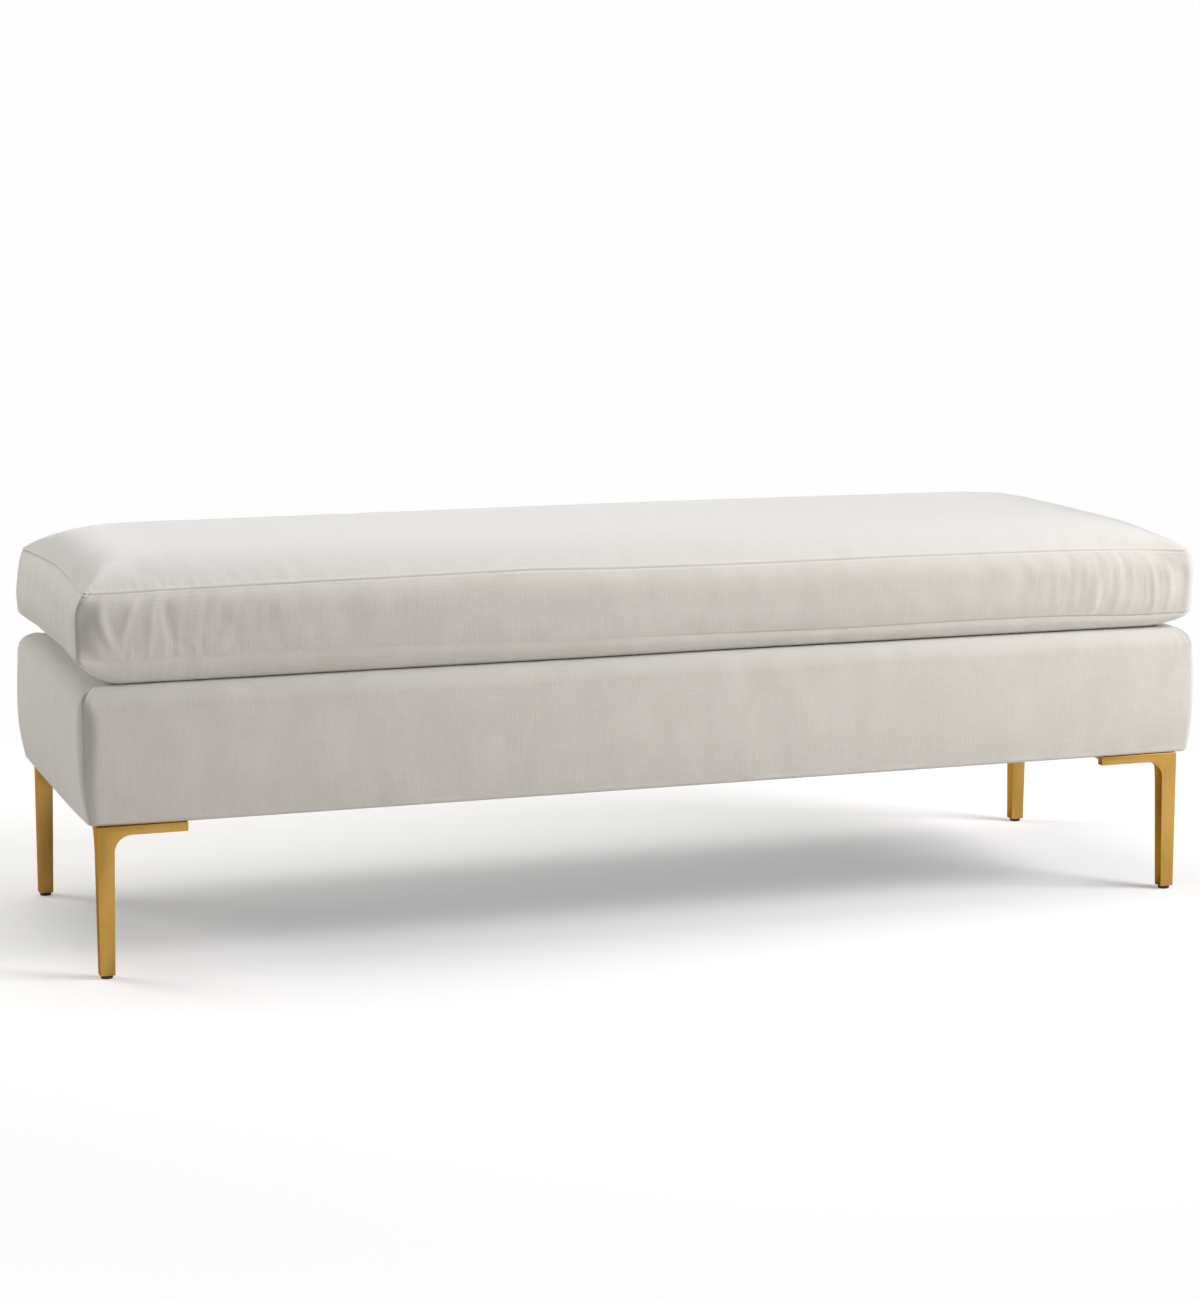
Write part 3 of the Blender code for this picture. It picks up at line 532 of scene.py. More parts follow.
TOP_RISES = (eased((-1.0, -0.96, -0.9, -0.75, -0.45, -0.24, -0.1, 0.2, 0.4, 0.6, 0.8, 0.93, 1.0),
                   (4.6, 3.2, 5.2, 6.2, 7.6, 9.0, 5.6, 3.4, 4.0, 2.8, 1.1, -2.8, -6.0)),
             eased((-1.0, -0.6, 0.0, 0.6, 1.0), (3.6, 6.0, 7.0, 5.0, -6.0)),
             eased((-1.0, -0.88, -0.42, -0.05, 0.42, 1.0), (4.6, 3.6, 9.4, 12.0, 8.7, 3.6)),
             eased((-1.0, 0.0, 1.0), (-6.0, 0.5, -6.0)))
LOWER_RISES = (eased((-1.0, -0.6, -0.45, -0.3, -0.1, 0.2, 0.36, 0.55, 0.75, 0.9, 1.0),
                     (6.2, 6.5, 4.8, 2.0, -0.5, -3.5, -4.4, -3.2, -3.6, -8.6, -7.0)),
               eased((-1.0, -0.5, 0.5, 1.0), (1.0, 0.5, -0.5, -4.0)),
               eased((-1.0, 0.0, 1.0), (6.2, 1.0, 1.0)),
               eased((-1.0, 0.0, 1.0), (-7.0, -3.0, -4.0)))


def seam_rise(a, b, rises):
    """The four seams' heights (front, back, left, right) carried over the panel: the sum of the two pairs
    of opposite sides, each blended straight across, less the same blend of the four corners."""
    front, back, left, right = rises
    u, v = (a + 1) / 2, (b + 1) / 2
    sides = (1 - v) * front(a) + v * back(a) + (1 - u) * left(b) + u * right(b)
    corners = ((1 - u) * (1 - v) * front(-1.0) + u * (1 - v) * front(1.0)
               + (1 - u) * v * back(-1.0) + u * v * back(1.0))
    return sides - corners


# %% The three surfaces
def fullness(distance, reach, power):
    """How far a crown has risen at a distance from its seam: 1 minus (1 minus distance over reach) to a
    power, so it starts steep and levels off."""
    return 1 - (1 - np.clip(distance / reach, 0.0, 1.0)) ** power


def rolled(distance, reach):
    """The same for a rolled edge: a quarter of an ellipse, upright at the seam and flat at its reach."""
    return np.sqrt(1 - (1 - np.clip(distance / reach, 0.0, 1.0)) ** 2)


def both(first, second):
    """Two fullness values joined so that a corner stays full: 1 over the cube root of the sum of
    1 over their cubes, less 1. Where one of them is 1, the other is the result."""
    first, second = np.maximum(first, 1e-4), np.maximum(second, 1e-4)
    return (first ** -3 + second ** -3 - 1) ** (-1 / 3)


def top_panel(a, b):
    """The crowned top. Its height starts at the seam and climbs by a fullness curve from the nearer long
    side, joined with one from the nearer end."""
    from_end, from_side = (HALF_X - TOP_INSET) * (1 - np.abs(a)), (HALF_Y - TOP_INSET) * (1 - np.abs(b))
    end_reach = np.where(a < 0, LEFT_REACH, RIGHT_REACH)
    rise = both(fullness(from_end, end_reach, CROWN_POWER), fullness(from_side, FRONT_REACH, CROWN_POWER))
    settled = -SETTLED * smooth_step((a - 0.1) / 0.7)
    settled = settled + near_corners(a, b, (0.0, FULL_CORNER, 0.0, 0.0), 0.09)
    x, y = plan(a, b, top_inset(a, b), DRAW_IN)
    z = TOP_SEAM + seam_rise(a, b, TOP_RISES) * (1 - rise) + (CROWN + settled) * rise
    return np.stack([x, y, z], axis=-1)


def bottom_panel(a, b):
    """The underside: flat where it lies on the base, and rounded up to the lower seam."""
    from_end, from_side = (HALF_X - LOWER_INSET) * (1 - np.abs(a)), (HALF_Y - LOWER_INSET) * (1 - np.abs(b))
    rise = both(fullness(from_end, LOWER_END_REACH, 2), rolled(from_side, LOWER_REACH))
    x, y = plan(a, b, lower_inset(a, b), DRAW_IN)
    z = LOWER_SEAM + seam_rise(a, b, LOWER_RISES) * (1 - rise) - LOWER_CROWN * rise
    return np.stack([x, y, z], axis=-1)


def band(a, b, level):
    """The side. level runs from 0 at the lower seam to 1 at the top seam. Between the seams the band
    stands out: its inset is the seam's inset times the cube of the distance from mid height. It falls
    back beside the front left corner and a little along the left end. Along the back the rows near mid
    height run straight, because the zip does."""
    s = 2 * level - 1
    near_seam = np.abs(s) ** 3
    inset = np.where(s < 0, lower_inset(a, b), top_inset(a, b))
    x, y = plan(a, b, inset * near_seam, DRAW_IN * near_seam)
    y = y + SLACK_CORNER * bell(x + HALF_X, 0.014) * bell(y + HALF_Y, 0.012) * np.sqrt(1 - s ** 2)
    x = x + (FLATTER_END * bell(level - 0.72, 0.28) * smooth_step((b + 1) / 1.2)
             * smooth_step(-(x + 0.70) / 0.04))
    low, high = LOWER_SEAM + seam_rise(a, b, LOWER_RISES), TOP_SEAM + seam_rise(a, b, TOP_RISES)
    by_zip = smooth_step((0.44 - np.abs(level - 0.5)) / 0.28) * smooth_step((0.75 - np.abs(x)) / 0.06)
    straight = np.where(b >= 1, by_zip, 0.0)
    z = (1 - straight) * (low + (high - low) * level) + straight * (LOWER_SEAM + BAND_HEIGHT * level)
    return np.stack([x, y, z], axis=-1)


print("crown at the middle:", np.round(top_panel(np.array(0.0), np.array(0.0)), 4))

# %% [markdown]
# Top, band and bottom become one closed skin. Both panels have the same columns and rows, so the band
# can borrow its columns from the panels' edges, once round the outline. Columns lie close together
# near the corners and rows near the seams, where the shape changes fastest.

# %% Panels sewn into one skin
def outline_of(a, b):
    """Places along a panel's edge, once round: front, right, back, left."""
    front = np.stack([a, np.full(len(a), -1.0)], axis=1)
    right = np.stack([np.full(len(b), 1.0), b], axis=1)[1:]
    back = np.stack([a, np.full(len(a), 1.0)], axis=1)[::-1][1:]
    left = np.stack([np.full(len(b), -1.0), b], axis=1)[::-1][1:-1]
    return np.concatenate([front, right, back, left])


def in_rows(edge, rows):
    """The places along an outline, the same for every row: how far along and how far across."""
    return edge[None, :, 0] + 0 * rows, edge[None, :, 1] + 0 * rows


def edge_numbers(index):
    """Point numbers along a panel's edge in the same order."""
    return np.concatenate([index[0], index[1:, -1], index[-1, ::-1][1:], index[::-1, 0][1:-1]])


def band_pattern(side):
    """Flat coordinates of the band: the way round along its middle row, and the height."""
    ring = wrapped(side)
    way = way_along(ring[len(ring) // 2])
    return np.stack([np.broadcast_to(way, ring.shape[:2]), ring[..., 2]], axis=-1)


def sewn(a, b, levels, top_at, band_at, bottom_at):
    """Points and patches of a closed box skin from its three surfaces: first the top's points, then the
    bottom's, then the band's rows between the two seams."""
    aa, bb = np.meshgrid(a, b)
    top, bottom = top_at(aa, bb), bottom_at(aa, bb)
    edge = outline_of(a, b)
    side = band_at(*in_rows(edge, levels[:, None]), levels[:, None])
    top_index = np.arange(aa.size).reshape(aa.shape)
    bottom_index = top_index + aa.size
    middle = np.arange((len(levels) - 2) * len(edge)).reshape(len(levels) - 2, len(edge)) + 2 * aa.size
    band_index = np.vstack([edge_numbers(bottom_index)[None], middle, edge_numbers(top_index)[None]])
    points = np.vstack([top.reshape(-1, 3), bottom.reshape(-1, 3), side[1:-1].reshape(-1, 3)])
    patches = [grid(top_index, top[..., :2]), grid(bottom_index, bottom[..., :2], inside_out=True),
               grid(wrapped(band_index), band_pattern(side))]
    return points, patches


def layered(a, b, levels, at):
    """A closed skin whose bottom, side and top are one surface at level 0, between, and at level 1."""
    return sewn(a, b, levels, lambda a, b: at(a, b, np.array(1.0)), at, lambda a, b: at(a, b, np.array(0.0)))


def graded(half, step, near, fine=None, zone=0.0):
    """Places from -1 to 1 along a side: the given distances from each end, then steps that grow evenly
    from fine to the full step over a zone."""
    inner = half - near[-1]
    if fine is None:
        middle = np.linspace(-inner, inner, int(round(2 * inner / step)) + 1)
    else:
        way = np.linspace(-inner, inner, 2001)
        density = 1 / (fine + (step - fine) * smooth_step((inner - np.abs(way)) / zone - 0.5))
        count = np.concatenate([[0.0], np.cumsum((density[1:] + density[:-1]) / 2 * np.diff(way))])
        middle = np.interp(np.linspace(0, count[-1], int(round(count[-1])) + 1), count, way)
    return np.concatenate([-half + near[:-1], middle, (half - near[:-1])[::-1]]) / half


NEAR_SEAM = np.array([0.0, 0.5, 1.0, 1.6, 2.4, 3.4, 4.6, 6.2, 8.2, 10.8, 14.0, 17.5]) / 1000
casing_a = graded(HALF_X, 0.0092, NEAR_SEAM, fine=0.0028, zone=0.24)
casing_b = graded(HALF_Y, 0.0085, NEAR_SEAM, fine=0.0040, zone=0.05)
casing_levels = (graded(BAND_HEIGHT / 2, 0.0032, NEAR_SEAM[:9]) + 1) / 2
casing_points, casing_patches = sewn(casing_a, casing_b, casing_levels, top_panel, band, bottom_panel)
print("casing points:", len(casing_points), "band rows:", len(casing_levels))

# %% [markdown]
# ## Folds in the cloth
# A real cover is cut a little larger than its filling, so that the spare cloth gathers into small folds
# beside the seams. A cloth simulation finds them: a coarser copy of the skin, cut 2.5 percent too large,
# is held at its seams and blown up by a gentle pressure. Only the folds are kept, as heights above the
# smooth shape. They are carried over to the fine skin, which keeps its measured crown.

# %% Simulated folds
def carry(known, wanted):
    """Weights that carry values from known places to wanted ones. Each wanted place takes from four
    neighbours with the weights of a cubic B-spline, which leaves no creases."""
    place = np.interp(wanted, known, np.arange(len(known)))
    first = np.clip(np.floor(place).astype(int), 0, len(known) - 2)
    t = place - first
    weights = np.zeros((len(wanted), len(known)))
    shares = ((1 - t) ** 3, 3 * t ** 3 - 6 * t ** 2 + 4, -3 * t ** 3 + 3 * t ** 2 + 3 * t + 1, t ** 3)
    for step, share in zip((-1, 0, 1, 2), shares):
        np.add.at(weights, (np.arange(len(wanted)), np.clip(first + step, 0, len(known) - 1)), share / 6)
    return weights


def averaged(places, width):
    """Weights that replace every value by the average of its surroundings, by a bell of that width."""
    weights = bell(places[:, None] - places[None, :], width)
    return weights / weights.sum(axis=1, keepdims=True)


def way_round(a, b):
    """The way round the outline to each band column, in metres, with the first column again at the end."""
    edge = outline_of(a, b) * (HALF_X, HALF_Y)
    return way_along(np.vstack([edge, edge[:1]]))


def blown_up(points, patches, held, growth, pressure, frames):
    """Heights above the skin after a cloth simulation. held points don't move."""
    trial = skin("fold_trial", points, patches)
    trial.vertex_groups.new(name="sewn").add(held.tolist(), 1.0, "REPLACE")
    cloth_modifier = trial.modifiers.new("cloth", "CLOTH")
    cloth_modifier.point_cache.frame_end = frames
    settings = cloth_modifier.settings
    settings.quality = 6
    settings.mass = 0.3
    settings.tension_stiffness = settings.compression_stiffness = 18
    settings.shear_stiffness = 6
    settings.bending_stiffness = 0.4
    settings.use_pressure = True
    settings.uniform_pressure_force = pressure
    settings.shrink_min = -growth
    settings.vertex_group_mass = "sewn"
    settings.effector_weights.gravity = 0
    scene = bpy.context.scene
    for number in range(1, frames + 1):
        scene.frame_set(number)
    settled = trial.evaluated_get(bpy.context.evaluated_depsgraph_get()).data
    moved = np.empty(len(points) * 3, np.float32)
    settled.vertices.foreach_get("co", moved)
    scene.frame_set(1)
    bpy.data.objects.remove(trial)
    return np.einsum("ij,ij->i", moved.reshape(-1, 3) - points, outward(points, patches))


SLOW_WIDTH = 0.030


def only_folds(heights, rows, columns, most):
    """Take away the slow part of the heights, then limit what is left smoothly to the given height. The
    band is too low to have a slow part up and down, so it gives no rows."""
    across = heights if rows is None else averaged(rows, SLOW_WIDTH) @ heights
    slow = across @ averaged(columns, SLOW_WIDTH).T
    return most * np.tanh((heights - slow) / most)


HIGHEST_FOLD = 0.004
top_folds = np.zeros((len(casing_b), len(casing_a)))
band_folds = np.zeros((len(casing_levels), len(outline_of(casing_a, casing_b))))
trial_a, trial_b = np.linspace(-1, 1, 189), np.linspace(-1, 1, 61)
trial_levels = np.linspace(0, 1, 12)
trial_points, trial_patches = sewn(trial_a, trial_b, trial_levels, top_panel, band, bottom_panel)
panel = len(trial_a) * len(trial_b)
top_edge = edge_numbers(np.arange(panel).reshape(len(trial_b), -1))
held = np.concatenate([top_edge, np.arange(panel, 2 * panel)])
heights = blown_up(trial_points, trial_patches, held, growth=0.025, pressure=4.0, frames=20)
top_trial = heights[:panel].reshape(len(trial_b), -1)
top_trial = only_folds(top_trial, trial_b * HALF_Y, trial_a * HALF_X, HIGHEST_FOLD)
band_trial = np.pad(heights[2 * panel:].reshape(len(trial_levels) - 2, -1), ((1, 1), (0, 0)))
trial_way = way_round(trial_a, trial_b)
band_trial = only_folds(wrapped(band_trial), None, trial_way, HIGHEST_FOLD)
top_folds = carry(trial_b, casing_b) @ top_trial @ carry(trial_a, casing_a).T
carried_round = carry(trial_way, way_round(casing_a, casing_b)[:-1])
band_folds = carry(trial_levels, casing_levels) @ band_trial @ carried_round.T
print("folds, mm: top", np.round(1000 * top_folds.std(), 2), "band", np.round(1000 * band_folds.std(), 2))

# %% [markdown]
# ## Seams, puckers and corners
# Under a seam lie the folded edges of both panels. They make a narrow ridge beside the stitches, and the
# stitches themselves pull a furrow. The thread is a little shorter than the cloth, so small puckers run
# away from it. Beside each sewn corner, where the band turns, the filling doesn't reach and the cloth
# falls into a hollow. All of these are heights added along the outward direction.

# %% Relief of the casing
def panel_edge(distance):
    """Height of a panel beside its seam: the folded edges under it lift it most at 1.4 mm."""
    return -0.0003 * bell(distance, 0.0006) + 0.0005 * bell(distance - 0.0014, 0.0013)


def band_edge(distance):
    """Height of the band beside a seam: a furrow at the stitches and a low swell at 3 mm."""
    return -0.0009 * bell(distance - 0.0005, 0.0009) + 0.0002 * bell(distance - 0.0030, 0.0014)


def puckers(way, distance, seed, reach):
    """Short folds that start just off a seam and die out with distance from it."""
    waves = uneven(way, (0.0095, 0.014, 0.023), seed)
    return waves * np.exp(-distance / reach) * (1 - bell(distance, 0.003))


def side_ways(a, b, half_x=HALF_X, half_y=HALF_Y):
    """The way along the nearest long side and along the nearest end, each with its own start, so that
    opposite sides don't match."""
    return a * half_x + np.where(b < 0, 0.0, 7.0), b * half_y + np.where(a < 0, 3.0, 5.0)


def busy(x):
    """How lively the cloth is along a long side: most at the left, some at the right, little between."""
    return 0.18 + 0.82 * smooth_step((-0.42 - x) / 0.25) + 0.45 * smooth_step((x - 0.35) / 0.25)


def tucks(distance):
    """Two small creases round a sewn corner, 5.8 and 11.5 mm from its tip, each just beyond a low ridge."""
    return (0.0010 * bell(distance - 0.0015, 0.0030) - 0.0009 * bell(distance - 0.0058, 0.0013)
            + 0.0006 * bell(distance - 0.0084, 0.0018) - 0.0004 * bell(distance - 0.0115, 0.0018))


aa, bb = np.meshgrid(casing_a, casing_b)
from_side, from_end = (1 - np.abs(bb)) * HALF_Y, (1 - np.abs(aa)) * HALF_X
from_seam = np.minimum(from_side, from_end)
along_side, along_end = side_ways(aa, bb)
away = 1 - bell(to_corner(aa, bb, HALF_X, HALF_Y), 0.014)
top_puckers = away * (busy(aa * HALF_X) * puckers(along_side, from_side, 11, 0.013)
                      + 0.4 * puckers(along_end, from_end, 12, 0.013))
top_relief = panel_edge(from_seam) + 0.00060 * top_puckers
bottom_relief = 0.5 * panel_edge(from_seam) + 0.00040 * top_puckers
fold_share = 0.25 + 0.75 * bell(from_seam, 0.07)
top_relief = top_relief + 0.28 * fold_share * top_folds
top_relief += near_corners(aa, bb, TUCKED, 0.02) * tucks(to_corner(aa, bb, HALF_X, HALF_Y))

edge = outline_of(casing_a, casing_b)
edge_a, edge_b = in_rows(edge, casing_levels[:, None])
level = casing_levels[:, None] + 0 * edge_a
below_top, above_low = (1 - level) * BAND_HEIGHT, level * BAND_HEIGHT
along_side, along_end = side_ways(edge_a, edge_b)
on_side = np.abs(edge_b) >= 1
front = on_side & (edge_b < 0)
along = np.where(on_side, along_side, along_end)
off_corner = to_corner(edge_a, edge_b, HALF_X, HALF_Y)
away = 1 - bell(off_corner, 0.012)
middle = np.sqrt(np.clip(4 * level * (1 - level), 0, 1))
lower_seam_shows = np.where(front, 0.08 + 0.92 * smooth_step((edge_a * HALF_X + 0.10) / 0.25), 0.5)
band_relief = band_edge(below_top) + lower_seam_shows * band_edge(above_low)
liveliness = np.where(on_side, busy(edge_a * HALF_X), 0.5)
band_puckers = puckers(along, below_top, 11, 0.014) + puckers(along, above_low, 13, 0.014)
band_relief += 0.00045 * away * liveliness * band_puckers

# %% [markdown]
# The photograph shows each larger fold of the front band. They are few and none is like the next, so
# they stay a short list: where the crest starts and ends, how wide and high it is, and over which part
# of the band's height it runs.

# %% Folds of the front band
FRONT_FOLDS = (
    # crest at the top seam and at the lower seam, bow, half width, height, all in mm; level; spread
    (-729.0, -706.0, -6.0, 6.6, 1.17, 0.45, 0.90),
    (-686.0, -706.0, 0.0, 6.0, 0.85, 0.70, 0.45),
    (-665.0, -670.0, 2.0, 6.0, 0.68, 0.55, 0.40),
    (-661.0, -646.0, 0.0, 4.8, 0.54, 0.75, 0.38),
    (-644.0, -640.0, 0.0, 4.8, 0.36, 0.90, 0.25),
    (-645.0, -628.0, 0.0, 5.4, 0.36, 0.20, 0.28),
    (-611.0, -606.0, 0.0, 6.0, 0.36, 0.88, 0.28),
    (-588.0, -584.0, 0.0, 6.0, 0.27, 0.80, 0.30),
    (-566.0, -570.0, 0.0, 7.8, 0.36, 0.65, 0.35),
    (-543.0, -548.0, 0.0, 6.0, 0.32, 0.85, 0.30),
    (-513.0, -506.0, 0.0, 10.8, 0.32, 0.60, 0.45),
    (-470.0, -476.0, 0.0, 8.0, 0.25, 0.60, 0.50),
    (-395.0, -390.0, 0.0, 10.0, 0.22, 0.50, 0.60),
    (-300.0, -306.0, 0.0, 11.0, 0.20, 0.60, 0.60),
    (-180.0, -176.0, 0.0, 10.0, 0.18, 0.60, 0.60),
    (66.0, 60.0, 0.0, 10.0, 0.20, 0.50, 0.60),
    (205.0, 212.0, 0.0, 9.0, 0.20, 0.50, 0.60),
    (318.0, 312.0, 0.0, 8.0, 0.25, 0.50, 0.55),
    (404.0, 407.0, 0.0, 6.0, 0.29, 0.33, 0.34),
    (445.0, 436.0, 2.0, 6.0, 0.29, 0.43, 0.51),
    (489.0, 487.0, 0.0, 6.0, 0.25, 0.38, 0.38),
    (530.0, 528.0, 0.0, 5.0, 0.25, 0.33, 0.38),
    (547.0, 551.0, -1.5, 4.5, 0.45, 0.38, 0.47),
    (579.0, 573.0, 2.0, 6.0, 0.64, 0.38, 0.42),
    (606.0, 603.0, 5.0, 7.0, 0.43, 0.43, 0.42),
    (613.0, 608.0, 1.0, 3.2, 0.37, 0.15, 0.28),
    (640.0, 637.0, 4.0, 6.0, 0.50, 0.33, 0.38),
    (648.0, 644.0, 1.0, 3.2, 0.34, 0.18, 0.26),
    (645.0, 650.0, 0.0, 4.0, 0.24, 0.90, 0.22),
    (657.0, 669.0, 1.5, 4.0, 0.30, 0.63, 0.27),
    (668.0, 660.0, 0.0, 3.6, 0.41, 0.25, 0.30),
    (685.0, 682.0, 1.0, 3.4, 0.53, 0.30, 0.33),
    (687.0, 697.0, 3.0, 4.4, 0.82, 0.38, 0.59),
    (712.0, 718.0, 4.0, 5.0, 0.70, 0.38, 0.51),
)
FOLD_GAIN, FOLD_WIDTH = 1.25, 1.25      # every fold is this much higher and wider than listed


def crests(x, level, table):
    """The sum of all folds. Across, a fold is (1 - t squared) e to the minus t squared, with t the distance
    from its crest in half widths: a ridge with a shallow dip on either side. Up and down, it fades out
    from its level by a bell as wide as its spread."""
    total = np.zeros_like(x)
    for top_x, low_x, bow, width, height, centre, spread in table:
        crest = low_x + (top_x - low_x) * level + 4 * bow * level * (1 - level)
        t = (1000 * x - crest) / (FOLD_WIDTH * width)
        total += FOLD_GAIN * height / 1000 * (1 - t ** 2) * bell(t, 1.0) * bell(level - centre, spread)
    return total


x_front = edge_a * HALF_X
height = (level - 0.5) * BAND_HEIGHT
fine_streaks = uneven(x_front - 0.15 * height, (0.013, 0.021, 0.034, 0.060), 17)
front_folds = crests(x_front, level, FRONT_FOLDS) + 0.00020 * fine_streaks
band_relief += np.where(front, away * middle * front_folds, 0.0)
under_seam = np.where(front, smooth_step((-0.25 - x_front) / 0.3), 0.3)
band_relief -= 0.0006 * under_seam * bell(below_top - 0.0035, 0.0028)
front_left = front & (edge_a < 0)
hollow_depth = np.where(front_left, 0.0008, np.where(front, 0.0006, np.where(on_side, 0.0014, 0.0008)))
band_relief -= hollow_depth * np.sqrt(middle) * bell(off_corner - 0.017, 0.0085)
band_relief += 0.5 * np.where(front, 0.4 + 0.6 * busy(x_front), 0.7) * band_folds
tip = np.hypot(off_corner, below_top)
band_relief += near_corners(edge_a, edge_b, TUCKED, 0.02) * tucks(tip)
band_relief += 0.0010 * bell(off_corner, 0.010) * bell(above_low, 0.010)
print("band relief, mm:", np.round(1000 * band_relief.min(), 2), "to", np.round(1000 * band_relief.max(), 2))

# %% Casing of the cushion
ZIP_HALF_LENGTH, SLIT = 0.66, 0.009
zip_level = sum(box_of("zip_chain"))[2] / 2

relief = np.concatenate([top_relief.ravel(), bottom_relief.ravel(), band_relief[1:-1].ravel()])
near_zip = ((casing_points[:, 1] > HALF_Y - 0.012) & (np.abs(casing_points[:, 0]) < ZIP_HALF_LENGTH + 0.02)
            & (np.abs(casing_points[:, 2] - zip_level) < 0.020))
relief = np.where(near_zip, np.clip(relief, -0.0001, 0.0), relief)
casing_points = casing_points + outward(casing_points, casing_patches) * relief[:, None]
band_faces, band_flat = casing_patches[2]
centres = casing_points[band_faces].mean(axis=1)
in_slit = ((centres[:, 1] > HALF_Y - 0.012) & (np.abs(centres[:, 0]) < ZIP_HALF_LENGTH)
           & (np.abs(centres[:, 2] - zip_level) < SLIT / 2))
open_band = (band_faces[~in_slit], band_flat[~in_slit])
casing = skin("cushion_casing", casing_points, casing_patches[:2] + [open_band], velvet)


def give_thickness(piece, thickness):
    """Cloth of a real thickness, grown inwards from the outer face."""
    solid = piece.modifiers.new("cloth thickness", "SOLIDIFY")
    solid.thickness = thickness
    solid.offset = -1.0


give_thickness(casing, CLOTH)
own(casing, "cushion", "velvet", "cushion_cover")
print("casing faces:", len(casing.data.polygons))

# %% [markdown]
# ## The filling
# Inside the casing a slab of foam lies between two layers of soft fibre. Nobody sees them on a closed
# cushion, yet they are real pieces: they follow the casing from inside, with a little air between.

# %% Foam and fibre
AIR = 0.0045             # between the cover's outer face and the filling


def inner(surface, a, b, air, lower):
    """A panel's surface moved inwards: its plan shrinks by the air gap, and its height drops or rises."""
    points = surface(a, b)
    shrink = np.array([1 - 1.6 * air / HALF_X, 1 - 1.6 * air / HALF_Y])
    return np.concatenate([points[..., :2] * shrink, points[..., 2:] + lower], axis=-1)


def core_plane(rises, height):
    """The foam's upper or lower face: flat in the middle, and near the sides lower with a seam that lies
    lower."""
    def surface(a, b):
        x, y = plan(a, b, TOP_INSET, DRAW_IN)
        flat = fullness((1 - np.abs(a)) * HALF_X, 0.20, 2) * fullness((1 - np.abs(b)) * HALF_Y, 0.15, 2)
        z = height + (1 - flat) * np.minimum(seam_rise(a, b, rises), 0)
        return np.stack([x, y, z], axis=-1)
    return surface


def slab(name, upper, lower, coat, slot, node):
    """A closed layer between two surfaces, rounded along its side by a half circle of rows."""
    def side(a, b, level):
        low, high = lower(a, b), upper(a, b)
        bulge = 1 + 0.004 * np.sqrt(np.clip(1 - (2 * level[..., None] - 1) ** 2, 0, 1))
        mixed = low + (high - low) * level[..., None]
        return mixed * np.concatenate([bulge, bulge, np.ones_like(bulge)], axis=-1)
    points, patches = sewn(np.linspace(-1, 1, 101), np.linspace(-1, 1, 41), np.linspace(0, 1, 9),
                           upper, side, lower)
    own(skin(name, points, patches, coat), "cushion", slot, node)


foam, tree, shader = material("foam_cream", (0.80, 0.72, 0.46), 0.9, sheen=0.1)
cells = put(tree, "ShaderNodeTexVoronoi")
cells.inputs["Scale"].default_value = 900.0
tree.links.new(solid_place(tree), cells.inputs["Vector"])
mottle(tree, shader, spread_out(tree, cells.outputs["Distance"], 0.1, 0.7), (0.84, 0.76, 0.50),
       (0.68, 0.58, 0.34))
bump(tree, shader, cells.outputs["Distance"], 0.0004)

fibre, tree, shader = material("polyester_fibre", (0.82, 0.83, 0.83), 0.95, sheen=0.6)
wisps = noise(tree, solid_place(tree), (160.0, 260.0, 220.0), detail=4.0, distortion=2.0)
mottle(tree, shader, spread_out(tree, wisps, 0.35, 0.7), (0.86, 0.87, 0.87), (0.70, 0.71, 0.72))
bump(tree, shader, wisps, 0.0015)

core_top = core_plane(TOP_RISES, TOP_SEAM - 0.0060)
core_bottom = core_plane(LOWER_RISES, LOWER_SEAM + 0.0015)
slab("foam_slab", lambda a, b: inner(core_top, a, b, AIR, 0), lambda a, b: inner(core_bottom, a, b, AIR, 0),
     foam, "foam", "foam_core")
slab("upper_wadding", lambda a, b: inner(top_panel, a, b, 0.008, -AIR),
     lambda a, b: inner(core_top, a, b, 0.009, 0.0004), fibre, "fibre", "upper_fibre")
slab("lower_wadding", lambda a, b: inner(core_bottom, a, b, 0.009, -0.0004),
     lambda a, b: inner(bottom_panel, a, b, 0.008, 0.0020), fibre, "fibre", "lower_fibre")
print("filling ready")

# %% [markdown]
# ## The base
# The base is a timber box wrapped in padding and the same velvet. The cover is sewn like a fitted sheet:
# a seam runs up each corner, and over the rolled top edge the corner is mitred. At the bottom the cloth
# is pulled round the rail and stapled, which rounds the lower edge just over the legs' arms.

# %% Section of the base cover
base_low, base_high = box_of("base_cover")
BASE_X, BASE_Y, BASE_BOTTOM, BASE_TOP = base_high[0], base_high[1], base_low[2], base_high[2]
BOTTOM_DRAW_IN, TOP_ROLL, TOP_DRAW_IN, TURN_UNDER = 0.008, 0.026, 0.0025, 0.034
LIP, LIP_ROLL = 0.0008, 0.0055
CORNER_HEIGHTS = (0.190, 0.230, 0.298, 0.324, 0.342, 0.350, 0.356, 0.3605)
CORNER_ROUNDS = ((12.0, 17.0, 26.0, 25.0, 16.0, 9.0, 4.5, 2.0), (8.0, 9.0, 9.0, 8.0, 6.0, 4.0, 3.0, 2.0),
                 (12.0, 15.0, 16.0, 14.0, 10.0, 6.0, 4.0, 2.0), (10.0, 12.0, 12.0, 11.0, 8.0, 5.0, 3.0, 2.0))
MID_SIDE = (BASE_BOTTOM + BASE_TOP) / 2
SIDE_ROWS, ROLL_ROWS = 26, 16
BASE_SLACK = 0.0045      # the cover falls back by this much at the front left corner
FULL_END = 0.0062        # the right end draws in this much less at its bottom


def drawn_in(s):
    """The inset of the side, from -1 at its lower to 1 at its upper end: the draw-in times s squared."""
    return np.where(s < 0, BOTTOM_DRAW_IN, TOP_DRAW_IN) * s ** 2


